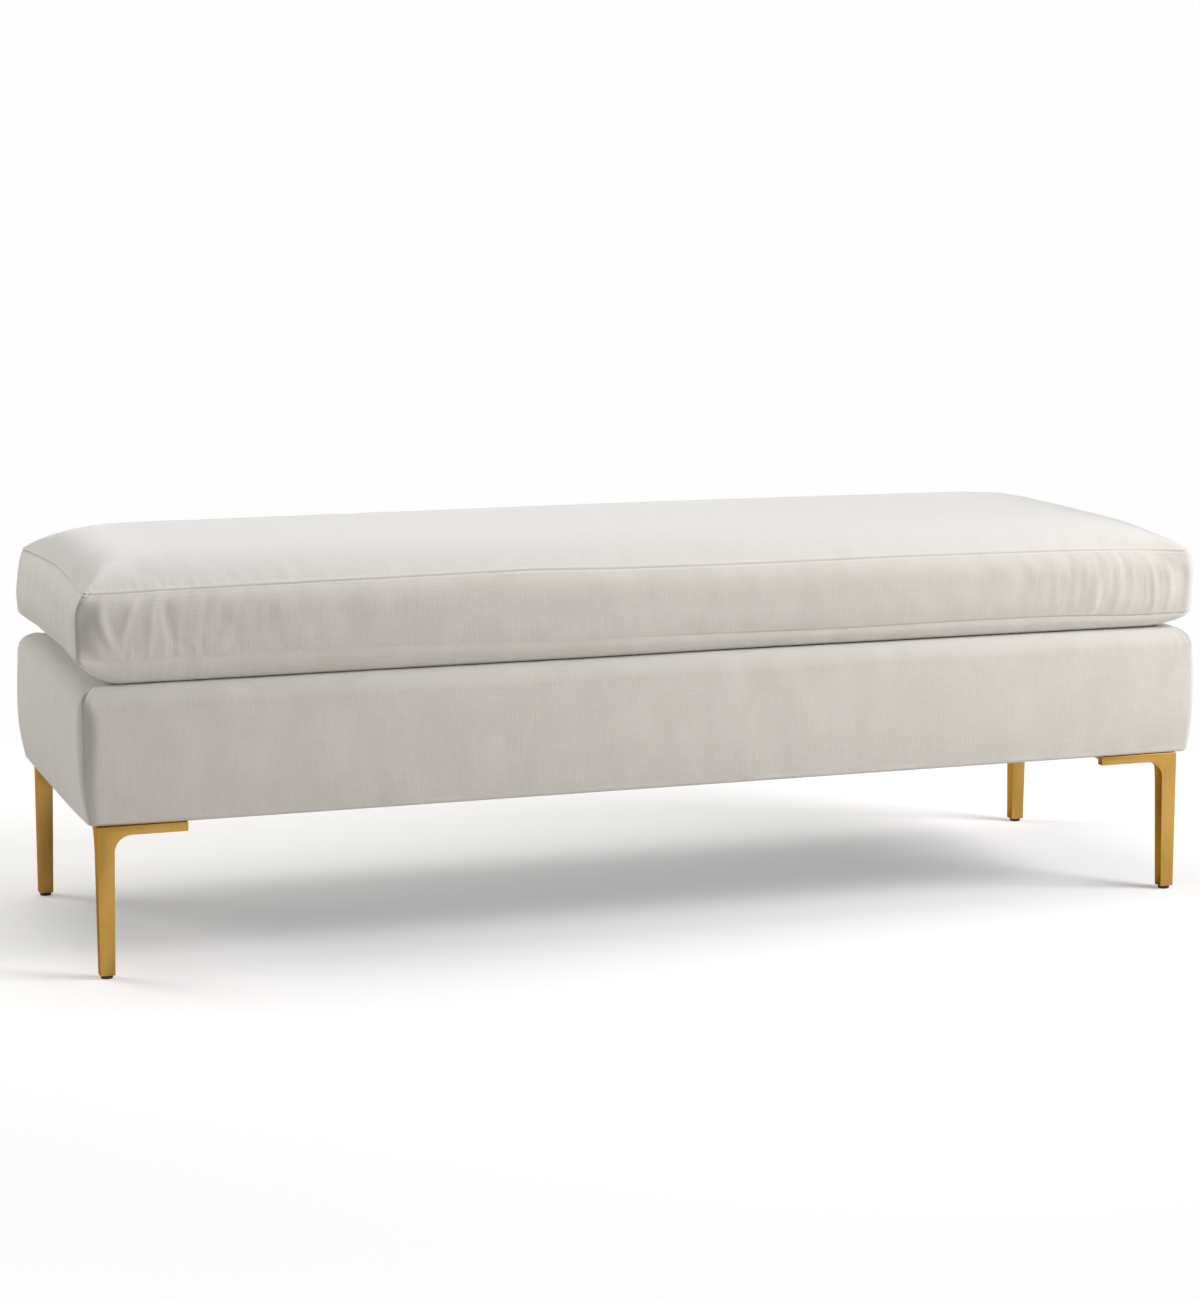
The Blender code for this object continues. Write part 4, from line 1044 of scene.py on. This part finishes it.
def base_section():
    """The cover's section from its turned-under edge to the deck, as (inset, height): a flange that dips
    into a lip, a quarter circle, a side that draws in by the square of the distance from mid height, and
    a quarter circle."""
    low = BASE_BOTTOM - LIP + LIP_ROLL
    way = np.linspace(0, 1, 9)[:-1]
    start, end = TURN_UNDER, BOTTOM_DRAW_IN + LIP_ROLL
    flange = np.stack([start + (end - start) * way, BASE_BOTTOM - LIP * smooth_step(2.2 * way - 1.2)], axis=1)
    turn = np.radians(np.linspace(270, 180, 12))
    bottom = np.stack([end + LIP_ROLL * np.cos(turn), low + LIP_ROLL * np.sin(turn)], axis=1)
    high = BASE_TOP - TOP_ROLL
    s = np.linspace(-1, 1, SIDE_ROWS)[1:-1]
    side = np.stack([drawn_in(s), (low + high) / 2 + s * (high - low) / 2], axis=1)
    turn = np.radians(np.linspace(180, 90, ROLL_ROWS))
    top = np.stack([TOP_DRAW_IN + TOP_ROLL * (1 + np.cos(turn)), high + TOP_ROLL * np.sin(turn)], axis=1)
    return np.concatenate([flange, bottom, side, top])


def base_ring(a, b, inset, height):
    """A ring of the base at an inset from its widest outline. Each corner is a roll whose radius in
    millimetres, CORNER_ROUNDS, changes with height. The right end draws in less at its bottom."""
    rounds = [np.interp(height, CORNER_HEIGHTS, np.array(row) / 1000) for row in CORNER_ROUNDS]
    front = np.where(a < 0, rounds[0], rounds[1])
    back = np.where(a < 0, rounds[2], rounds[3])
    x, y = rounded(a * (BASE_X - inset), b * (BASE_Y - inset), BASE_X - inset, BASE_Y - inset,
                   np.where(b < 0, front, back))
    below = np.clip((MID_SIDE - height) / (MID_SIDE - BASE_BOTTOM), 0, 1) ** 2
    slack = BASE_SLACK * np.clip((0.33 - height) / 0.13, 0, 1) * np.exp(-(x + y + BASE_X + BASE_Y) / 0.07)
    x, y = x + slack, y + slack
    x = x + FULL_END * below * smooth_step((x - 0.68) / 0.07)
    return np.stack([x, y, np.broadcast_to(height, x.shape)], axis=-1)


section = base_section()
NEAR_CORNER = np.append(NEAR_SEAM, [0.0215, 0.026, 0.031])
base_a, base_b = graded(BASE_X, 0.0095, NEAR_CORNER), graded(BASE_Y, 0.0095, NEAR_CORNER)
edge = outline_of(base_a, base_b)
edge_a, edge_b = in_rows(edge, section[:, :1])
sides = base_ring(edge_a, edge_b, section[:, :1], section[:, 1:])
deck_a, deck_b = np.meshgrid(base_a, base_b)
deck = base_ring(deck_a, deck_b, section[-1, 0], section[-1, 1])
deck_index = np.arange(deck_a.size).reshape(deck_a.shape)
lower = np.arange((len(section) - 1) * len(edge)).reshape(len(section) - 1, -1) + deck_a.size
side_index = np.vstack([lower, edge_numbers(deck_index)[None]])
side_pattern = band_pattern(sides)
side_pattern[..., 1] = way_along(section)[:, None]
base_points = np.vstack([deck.reshape(-1, 3), sides[:-1].reshape(-1, 3)])
base_patches = [grid(deck_index, deck[..., :2]), grid(wrapped(side_index), side_pattern)]
print("base points:", len(base_points))

# %% Relief of the base cover
def corner_seam(distance):
    """Height beside a seam that runs up a corner: a deep furrow at the stitches and a ridge over the
    folded edges at 2.8 mm."""
    return -0.0013 * bell(distance, 0.0010) + 0.0006 * bell(distance - 0.0028, 0.0014)


off_corner = to_corner(edge_a, edge_b, BASE_X, BASE_Y)
along = np.where(np.abs(edge_b) >= 1, *side_ways(edge_a, edge_b, BASE_X, BASE_Y))
height = section[:, 1:] + 0 * off_corner
above = height - BASE_BOTTOM
on_roll = smooth_step((height - (BASE_TOP - 0.040)) / 0.018)
one_sided = np.where(np.abs(edge_b) >= 1, 1.0, 0.45)
away = 1 - bell(off_corner, 0.012)
base_relief = one_sided * (0.7 + 0.6 * on_roll) * corner_seam(off_corner)
base_relief += 0.0006 * away * on_roll * np.exp(-off_corner / 0.040) * uneven(along, (0.010, 0.014), 21)
base_relief += 0.00035 * away * uneven(along + 0.2 * height, (0.075, 0.11, 0.17), 22)
base_relief += 0.00040 * away * np.exp(-np.abs(above - 0.012) / 0.014) * uneven(along, (0.023, 0.034), 23)
base_relief = np.where(above < 0.004, 0.0, base_relief)
relief = np.concatenate([np.zeros(deck_a.size), base_relief[:-1].ravel()])
base_points = base_points + outward(base_points, base_patches) * relief[:, None]

base_skin = skin("base_upholstery", base_points, base_patches, velvet)
give_thickness(base_skin, CLOTH)
own(base_skin, "bench", "velvet", "base_cover")
print("base faces:", len(base_skin.data.polygons))

# %% [markdown]
# Under the cover lie two pieces of padding: a strip wrapped round the rails, and a sheet over the webbing
# whose upper edge is rolled. Both follow the cover from inside, so they give way with it at the corners.

# %% Padding of the base
UNDER_COVER = CLOTH + 0.0008
pad_low, pad_high = box_of("side_padding")
deck_low, deck_high = box_of("deck_foam")
RAIL_INSET = BASE_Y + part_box("front_rail")[0][1]


def pad_inset(height):
    """The inset of the padding's outer face: the cover's, plus the cloth and a little air, and over the
    roll the same quarter circle with a smaller radius."""
    high, radius = BASE_TOP - TOP_ROLL, TOP_ROLL - UNDER_COVER
    low = BASE_BOTTOM - LIP + LIP_ROLL
    s = np.clip(2 * (height - low) / (high - low) - 1, -1, 1)
    side = drawn_in(s) + UNDER_COVER
    turn = np.clip((height - high) / radius, 0, 1)
    return side + radius * (1 - np.sqrt(1 - turn ** 2))


def closed_ring(name, section, a, b, coat):
    """A ring of padding: a closed section of (inset, height) carried once round the base."""
    points = base_ring(*in_rows(outline_of(a, b), section[:, :1]), section[:, :1], section[:, 1:])
    index = np.arange(points.shape[0] * points.shape[1]).reshape(points.shape[:2])
    index = wrapped(np.vstack([index, index[:1]]))
    return skin(name, points.reshape(-1, 3), [grid(index)], coat)


pad_heights = np.linspace(pad_low[2], pad_high[2], 15)
pad_outer = np.stack([pad_inset(pad_heights), pad_heights], axis=1)
pad_inner = np.stack([np.full(15, RAIL_INSET - 0.0003), pad_heights[::-1]], axis=1)
padding_a, padding_b = graded(BASE_X, 0.03, NEAR_CORNER[::2]), graded(BASE_Y, 0.03, NEAR_CORNER[::2])
wrap_pad = closed_ring("side_pad", np.vstack([pad_outer, pad_inner]), padding_a, padding_b, foam)

deck_levels = np.linspace(0, 1, 14)
deck_thick = deck_high[2] - deck_low[2]


def deck_side(a, b, level):
    """A face of the deck sheet, or its side between the two: a ring of the base at the padding's inset."""
    height = deck_low[2] + level * deck_thick
    return base_ring(a, b, pad_inset(height), height)


deck_points, deck_patches = layered(padding_a, padding_b, deck_levels, deck_side)
deck_pad = skin("deck_pad", deck_points, deck_patches, foam)
for piece, node in ((wrap_pad, "side_padding"), (deck_pad, "deck_foam")):
    own(piece, "bench", "foam", node)
print("padding faces:", len(wrap_pad.data.polygons), len(deck_pad.data.polygons))

# %% [markdown]
# ## Satin brass
# The legs are cast, filed flat and brushed along their length, then lacquered. Brushing leaves fine
# streaks that blur reflections mostly across the grain. The sides that face left are painted a deeper,
# darker tint: a painted dark reflection of darker surroundings. The frame's own legs have the right
# shape, so a copy of each is merged into one closed mesh and shaded smooth over its rounded edges.

# %% Brass legs
MERGE_WITHIN = 2e-6      # metres
FLAT_WITHIN = 0.5        # degrees


def polished_copy(name, new_name, coat, body, slot, smooth_degrees=50):
    """A merged copy of a frame node: edges that turn less than the angle are shaded smooth."""
    mesh = nodes[name].data.copy()
    work = bmesh.new()
    work.from_mesh(mesh)
    bmesh.ops.remove_doubles(work, verts=work.verts, dist=MERGE_WITHIN)
    bmesh.ops.dissolve_limit(work, angle_limit=math.radians(FLAT_WITHIN), verts=work.verts, edges=work.edges)
    work.to_mesh(mesh)
    work.free()
    mesh.materials.clear()
    mesh.materials.append(coat)
    mesh.polygons.foreach_set("use_smooth", np.full(len(mesh.polygons), True))
    mesh.set_sharp_from_angle(angle=math.radians(smooth_degrees))
    made = bpy.data.objects.new(new_name, mesh)
    bpy.context.scene.collection.objects.link(made)
    own(made, body, slot, name)


brass, tree, shader = material("satin_brass", (0.64, 0.39, 0.105), 0.34, metallic=1.0)
shader.inputs["Specular Tint"].default_value = (0.90, 0.62, 0.28, 1.0)
place = solid_place(tree)
streaks = noise(tree, place, (700.0, 700.0, 10.0), detail=2.0)
clouds = noise(tree, place, (30.0, 30.0, 18.0), detail=2.0)
tint = blend_colours(tree, spread_out(tree, clouds, 0.35, 0.7), (0.71, 0.425, 0.112), (0.65, 0.375, 0.086))
# painted dark reflection: faces that point left take a deeper, darker brass colour
normal_x_for_painted_reflection = along_axis(tree, put(tree, "ShaderNodeTexCoord").outputs["Normal"], 0)
mottle(tree, shader, spread_out(tree, normal_x_for_painted_reflection, -0.9, -0.4, 1.0, 0.0), tint, (0.56, 0.280, 0.060))
rough = arithmetic(tree, "ADD", streaks, arithmetic(tree, "MULTIPLY", clouds, 0.4))
dull(tree, shader, rough, 0.4, 1.0, 0.30, 0.38)
bump(tree, shader, streaks, 0.00001)

for corner in CORNERS:
    polished_copy("leg_" + corner, "brass_leg_" + corner, brass, "bench", "brass")
print("brass legs:", len(CORNERS))

# %% [markdown]
# ## Inside the base
# The carcass is pine: rails, two stretchers, and blocks that take the legs' screws. Its grain runs along
# each board. Rings of early and late wood are noise drawn out along the grain, so every board gets its
# own figure because it lies in a different part of the same noise.

# %% Pine
def coat_nodes(coat, names):
    """Give frame nodes a finish and leave their shape alone."""
    for name in names:
        for holder in nodes[name].material_slots:
            holder.material = coat


def pine(name, grain):
    """Pine whose grain runs along an axis, 0 for X and 1 for Y."""
    made, tree, shader = material(name, (0.64, 0.46, 0.28), 0.62, specular=0.3)
    place = solid_place(tree)
    rings = noise(tree, place, tuple(1.6 if axis == grain else 42.0 for axis in range(3)), 3.0, 0.5)
    pores = noise(tree, place, tuple(14.0 if axis == grain else 620.0 for axis in range(3)), 1.0)
    tint = blend_colours(tree, spread_out(tree, rings, 0.42, 0.60), (0.70, 0.54, 0.35), (0.50, 0.32, 0.17))
    mottle(tree, shader, spread_out(tree, pores, 0.55, 0.75, 0.0, 0.35), tint, (0.36, 0.22, 0.11))
    dull(tree, shader, rings, 0.4, 0.6, 0.70, 0.52)
    bump(tree, shader, pores, 0.00015)
    return made


blocks = ["corner_block_" + corner for corner in CORNERS]
coat_nodes(pine("pine_along", 0), ["front_rail", "back_rail"] + blocks)
coat_nodes(pine("pine_across", 1), ["left_end_rail", "right_end_rail", "left_stretcher", "right_stretcher"])
print("timber coated")

# %% [markdown]
# The seat is carried by jute webbing: six straps across and two long ones that pass over and under them.
# The weave is made of two sines, one along and one across each strap, and a soft noise for the uneven
# yarn. Each strap is a surface: its own line of heights, carried across its width.

# %% Webbing
def ripple(tree, place, axis, per_metre):
    """A sine of the place along one axis, with so many waves to the metre."""
    turn = arithmetic(tree, "MULTIPLY", along_axis(tree, place, axis), 2 * math.pi * per_metre)
    return arithmetic(tree, "SINE", turn, 0.0)


jute, tree, shader = material("jute_webbing", (0.50, 0.41, 0.30), 0.9, sheen=0.2, specular=0.15)
place = solid_place(tree)
yarn = noise(tree, place, (420.0, 420.0, 60.0), detail=2.0)
weave = arithmetic(tree, "MULTIPLY", ripple(tree, place, 0, 330.0), ripple(tree, place, 1, 330.0))
weave = arithmetic(tree, "ADD", weave, arithmetic(tree, "MULTIPLY", yarn, 1.2))
mottle(tree, shader, spread_out(tree, weave, -0.4, 1.6), (0.30, 0.23, 0.15), (0.58, 0.48, 0.35))
bump(tree, shader, weave, 0.0003)

WEB, WEB_HALF_WIDTH = 0.0015, 0.025
STRAP_PITCH, FIRST_STRAP = 0.24, -0.60


def strap(name, coat, half_length, half_width, height, place_of, columns, thick=WEB):
    """A woven strap: its underside follows a line of heights, and its edges are a third thinner. place_of
    turns the way along, the way across and the height into a place."""
    def at(a, b, level):
        thickness = thick * (1 - 0.3 * b ** 6)
        return place_of(a * half_length, b * half_width, height(a * half_length) + thick / 2
                        + (level - 0.5) * thickness)
    points, patches = layered(np.linspace(-1, 1, columns), np.linspace(-1, 1, 9), np.linspace(0, 1, 3), at)
    return skin(name, points, patches, coat)


def interwoven(way, rest, swing):
    """Heights of a long strap: over and under the straps across by a clipped cosine, and flat at its ends."""
    between = 1 - smooth_step((np.abs(way) - 0.65) / 0.04)
    return rest + swing * between * np.clip(1.6 * np.cos(np.pi * (way - FIRST_STRAP) / STRAP_PITCH), -1, 1)


for number in range(1, 7):
    low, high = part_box(f"cross_strap_{number}")
    middle = (low[0] + high[0]) / 2
    made = strap(f"webbing_across_{number}", jute, high[1], WEB_HALF_WIDTH, lambda way: low[2] + 0 * way,
                 lambda way, off, z: np.stack([middle - off, way, z], axis=-1), 41)
    own(made, "bench", "webbing", f"cross_strap_{number}")

for side in ("front", "back"):
    low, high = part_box(side + "_long_strap")
    middle, rest = (low[1] + high[1]) / 2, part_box("cross_strap_1")[0][2]
    places = np.empty(3 * len(nodes[side + "_long_strap"].data.vertices))
    nodes[side + "_long_strap"].data.vertices.foreach_get("co", places)
    at_first = places.reshape(-1, 3)[np.abs(places[::3] - FIRST_STRAP) < 0.03]
    over = 1 if at_first[:, 2].max() > rest + 0.0025 else -1
    made = strap("webbing_" + side, jute, high[0], WEB_HALF_WIDTH,
                 lambda way: interwoven(way, rest, over * (high[2] - rest - WEB)),
                 lambda way, off, z: np.stack([way, middle + off, z], axis=-1), 201)
    own(made, "bench", "webbing", side + "_long_strap")
print("straps woven")

# %% [markdown]
# ## Underneath
# A black dust cloth closes the base from below. It is thin felted fibre, cut to size, pulled tight and
# stapled into the rails. A tight sheet still sags a little between its edges and ripples beside the
# staples, so its height is a low sag that fades out at every edge, plus short waves beside the edges. It
# lies flat over the legs' plates.

# %% Dust cloth
felt, tree, shader = material("black_felt", (0.045, 0.045, 0.05), 0.95, sheen=0.15, specular=0.2)
place = solid_place(tree)
fibres = noise(tree, place, (900.0, 700.0, 300.0), detail=3.0, distortion=1.5)
mottle(tree, shader, spread_out(tree, fibres, 0.35, 0.70), (0.028, 0.028, 0.031), (0.085, 0.085, 0.09))
bump(tree, shader, fibres, 0.0004)

cloth_low, cloth_high = box_of("dust_cloth")
STAPLE_PITCH = 0.038


def dust_sheet(a, b, level):
    """A face of the dust cloth, or its cut edge: the sag is 1 minus a to the fourth, times 1 minus b
    squared, and the waves are a cosine from staple to staple."""
    x, y = a * cloth_high[0], b * cloth_high[1]
    from_edge = np.minimum(cloth_high[0] - np.abs(x), cloth_high[1] - np.abs(y))
    off_plate = smooth_step(np.hypot(np.minimum(np.abs(x) - 0.60, 0), np.minimum(np.abs(y) - 0.16, 0)) / 0.03)
    sag = 0.0035 * (1 - a ** 4) * (1 - b ** 2)
    by_side = cloth_high[1] - np.abs(y) < cloth_high[0] - np.abs(x)
    waves = np.cos(2 * np.pi * np.where(by_side, x, y) / STAPLE_PITCH)
    pulled = 0.0006 * (1 - waves) * bell(from_edge - 0.014, 0.012)
    z = cloth_high[2] - (1.0 - level) * (cloth_high[2] - cloth_low[2]) - off_plate * (sag + pulled)
    return np.stack([x, y, z], axis=-1)


cloth_a, cloth_b = np.linspace(-1, 1, 241), np.linspace(-1, 1, 75)
points, patches = layered(cloth_a, cloth_b, np.array([0.0, 1.0]), dust_sheet)
felt_sheet = own(skin("dust_felt", points, patches, felt), "bench", "dust_cloth", "dust_cloth")
print("dust cloth faces:", len(felt_sheet.data.polygons))

# %% [markdown]
# ## Small metal
# Screws, staples and the zip's slider are plain steel. Turned and drawn parts carry fine lines, and the
# finish is a little rougher where these lines run close together.

# %% Steel parts
steel, tree, shader = material("bright_steel", (0.60, 0.60, 0.61), 0.30, metallic=1.0)
place = solid_place(tree)
lines = noise(tree, place, (900.0, 900.0, 2400.0), detail=1.0)
smudge = noise(tree, place, (70.0, 70.0, 70.0), detail=2.0)
mottle(tree, shader, smudge, (0.66, 0.66, 0.67), (0.52, 0.52, 0.53))
dull(tree, shader, arithmetic(tree, "ADD", lines, smudge), 0.7, 1.3, 0.22, 0.42)
bump(tree, shader, lines, 0.00002)


def tube(line, across, round_way, thick, wide):
    """Rows of points round a line of places. across and round_way are unit directions square to it, and
    thick and wide are half the wire's two measures along them."""
    turn = np.linspace(0, 2 * np.pi, 8, endpoint=False) + np.pi / 8
    return (line[:, None] + thick * np.cos(turn)[:, None] * across[:, None] + wide * np.sin(turn)[:, None]
            * round_way[:, None])


def staple_rows(x, y, tilt, along_x):
    """Rows of one staple seen from below: a flattened wire that runs down out of the rail, across the
    cloth and back up, with its two bends eased."""
    way = np.array([-4.6, -4.6, -4.3, -3.6, 3.6, 4.3, 4.6, 4.6]) / 1000
    height = np.array([1.2, 0.5, 0.12, 0.0, 0.0, 0.12, 0.5, 1.2]) / 1000
    angle = tilt + (0.0 if along_x else np.pi / 2)
    z = cloth_low[2] - 0.0003 + height
    line = np.stack([x + way * np.cos(angle), y + way * np.sin(angle), z], axis=-1)
    side = np.broadcast_to([-np.sin(angle), np.cos(angle), 0.0], line.shape)
    return tube(line, np.cross(side, direction(line)), side, 0.00025, 0.0005)


def tubes(name, bundles, coat):
    """Many short closed tubes in one mesh. Each tube's two ends are drawn to their middle, and points that
    fall together are merged."""
    closed = [np.concatenate([rows[:1].mean(1, keepdims=True) + 0 * rows[:1], rows,
                              rows[-1:].mean(1, keepdims=True) + 0 * rows[-1:]]) for rows in bundles]
    count = closed[0].shape[0] * closed[0].shape[1]
    patches = [grid(wrapped(np.arange(count).reshape(closed[0].shape[:2]) + count * number))
               for number in range(len(closed))]
    return merged(skin(name, np.concatenate([rows.reshape(-1, 3) for rows in closed]), patches, coat))


def merged(piece, smooth_degrees=50):
    """Merge points that fall together, turn every face outwards and keep sharp edges sharp."""
    work = bmesh.new()
    work.from_mesh(piece.data)
    bmesh.ops.remove_doubles(work, verts=work.verts, dist=1e-6)
    bmesh.ops.recalc_face_normals(work, faces=work.faces)
    work.to_mesh(piece.data)
    work.free()
    piece.data.set_sharp_from_angle(angle=math.radians(smooth_degrees))
    return piece


STAPLE_INSET = 0.010
tilts = np.random.default_rng(31).uniform(-0.14, 0.14, 200)
side_row, end_row = np.arange(-0.589, 0.59, STAPLE_PITCH), np.arange(-0.152, 0.153, STAPLE_PITCH)
spots = [(x, side * (cloth_high[1] - STAPLE_INSET), True) for side in (-1, 1) for x in side_row]
spots += [(side * (cloth_high[0] - STAPLE_INSET), y, False) for side in (-1, 1) for y in end_row]
wires = [staple_rows(x, y, tilt, along_x) for (x, y, along_x), tilt in zip(spots, tilts)]
own(tubes("staples", wires, steel), "bench", "screw")
for corner in CORNERS:
    for number in (1, 2, 3):
        screw = f"leg_screw_{corner}_{number}"
        polished_copy(screw, f"steel_screw_{corner}_{number}", steel, "bench", "screw", 35)
print("staples:", len(spots))

# %% [markdown]
# Each leg ends in a levelling foot: a dark moulded pad on a threaded stem. The thread is a real helix.
# Its radius at a turn and a height falls and rises once for each millimetre that the helix climbs.

# %% Levelling feet
plastic, tree, shader = material("dark_nylon", (0.050, 0.036, 0.024), 0.5, specular=0.4)
place = solid_place(tree)
grains = noise(tree, place, (1600.0, 1600.0, 1600.0), detail=2.0)
scuffs = noise(tree, place, (260.0, 260.0, 90.0), detail=2.0, distortion=0.8)
mottle(tree, shader, spread_out(tree, scuffs, 0.5, 0.8), (0.048, 0.034, 0.022), (0.11, 0.09, 0.07))
dull(tree, shader, grains, 0.3, 0.7, 0.38, 0.62)
bump(tree, shader, grains, 0.00006)

THREAD_PITCH, THREAD_DEPTH = 0.001, 0.00055


def threaded(low, high):
    """Rows of a threaded rod: the radius drops by the depth times the distance from the thread's crest,
    counted in half pitches, and narrows over half a millimetre at both ends."""
    centre, radius = (low + high) / 2, (high[0] - low[0]) / 2
    z = np.linspace(low[2], high[2], 181)[:, None]
    turn = np.linspace(0, 2 * np.pi, 24, endpoint=False)[None, :]
    share = np.mod(z / THREAD_PITCH - turn / (2 * np.pi), 1.0)
    end = np.clip(1 - np.minimum(z - low[2], high[2] - z) / 0.0005, 0, 1)
    r = radius - THREAD_DEPTH * np.abs(2 * share - 1) - 0.0006 * end
    return np.stack([centre[0] + r * np.cos(turn), centre[1] + r * np.sin(turn), z + 0 * turn], axis=-1)


for corner in CORNERS:
    polished_copy("foot_pad_" + corner, "foot_" + corner, plastic, "foot_pad_" + corner, "foot_plastic", 40)
    low, high = box_of("foot_stem_" + corner)
    stem = tubes("threaded_stem_" + corner, [threaded(low, high)], steel)
    own(stem, "foot_stem_" + corner, "screw", "foot_stem_" + corner)
print("feet:", len(CORNERS))

# %% [markdown]
# ## The zip
# The cover opens at the back. Behind the slit in the band lie two woven tapes and a nylon coil: a thread
# of nylon wound into a flat spiral, about one turn for every two millimetres. A slider with a hanging pull
# tab rests near the slit's end at the right of the bench.

# %% Zip
def ribbon(name, base, ribs):
    """Woven ribbon with ribs along Z, so many to the metre."""
    made, tree, shader = material(name, base, 0.85, sheen=0.3, specular=0.2)
    place = solid_place(tree)
    weave = arithmetic(tree, "MULTIPLY", ripple(tree, place, 0, ribs), ripple(tree, place, 2, 0.7 * ribs))
    shade = tuple(0.78 * value for value in base)
    mottle(tree, shader, spread_out(tree, weave, -1.0, 1.0), shade, base)
    bump(tree, shader, weave, 0.00012)
    return made


tape = ribbon("zip_tape_twill", (0.74, 0.71, 0.65), 900.0)
for half in ("lower", "upper"):
    low, high = box_of(half + "_zip_tape")
    middle = (low + high) / 2
    made = strap(half + "_tape", tape, high[0], middle[2] - low[2], lambda way: 0 * way,
                 lambda way, off, z: np.stack([way, high[1] - z, middle[2] + off], axis=-1), 161,
                 high[1] - low[1])
    own(made, "cushion", "zip_tape", half + "_zip_tape")

nylon, tree, shader = material("nylon_coil", (0.74, 0.71, 0.65), 0.42, specular=0.4)
gloss = noise(tree, solid_place(tree), (500.0, 900.0, 900.0), detail=1.0)
mottle(tree, shader, gloss, (0.78, 0.75, 0.69), (0.66, 0.63, 0.57))
dull(tree, shader, gloss, 0.3, 0.7, 0.34, 0.52)

COIL_PITCH, COIL_WIRE = 0.002, 0.00045
low, high = box_of("zip_chain")
turns = int((high[0] - low[0] - 0.001) / COIL_PITCH)
angle = np.linspace(0, 2 * np.pi * turns, 10 * turns + 1)
reach = (high - low) / 2 - COIL_WIRE
middle = (low + high) / 2
x = middle[0] + COIL_PITCH * (angle / (2 * np.pi) - turns / 2)
wire = np.stack([x, middle[1] + reach[1] * np.cos(angle), middle[2] + reach[2] * np.sin(angle)], axis=-1)
step = direction(wire)
away = np.stack([0 * angle, np.cos(angle), np.sin(angle)], axis=-1)
away -= (away * step).sum(axis=1, keepdims=True) * step
away /= np.linalg.norm(away, axis=1)[:, None]
ring = np.linspace(0, 2 * np.pi, 5, endpoint=False)
rows = wire[:, None] + COIL_WIRE * (np.cos(ring)[:, None] * away[:, None]
                                    + np.sin(ring)[:, None] * np.cross(step, away)[:, None])
own(tubes("zip_coil", [rows], nylon), "cushion", "zip_coil", "zip_chain")
polished_copy("zip_slider", "slider", steel, "zip_slider", "zip_metal", 35)
polished_copy("zip_pull_tab", "pull_tab", steel, "zip_pull_tab", "zip_metal", 35)
print("coil turns:", turns)
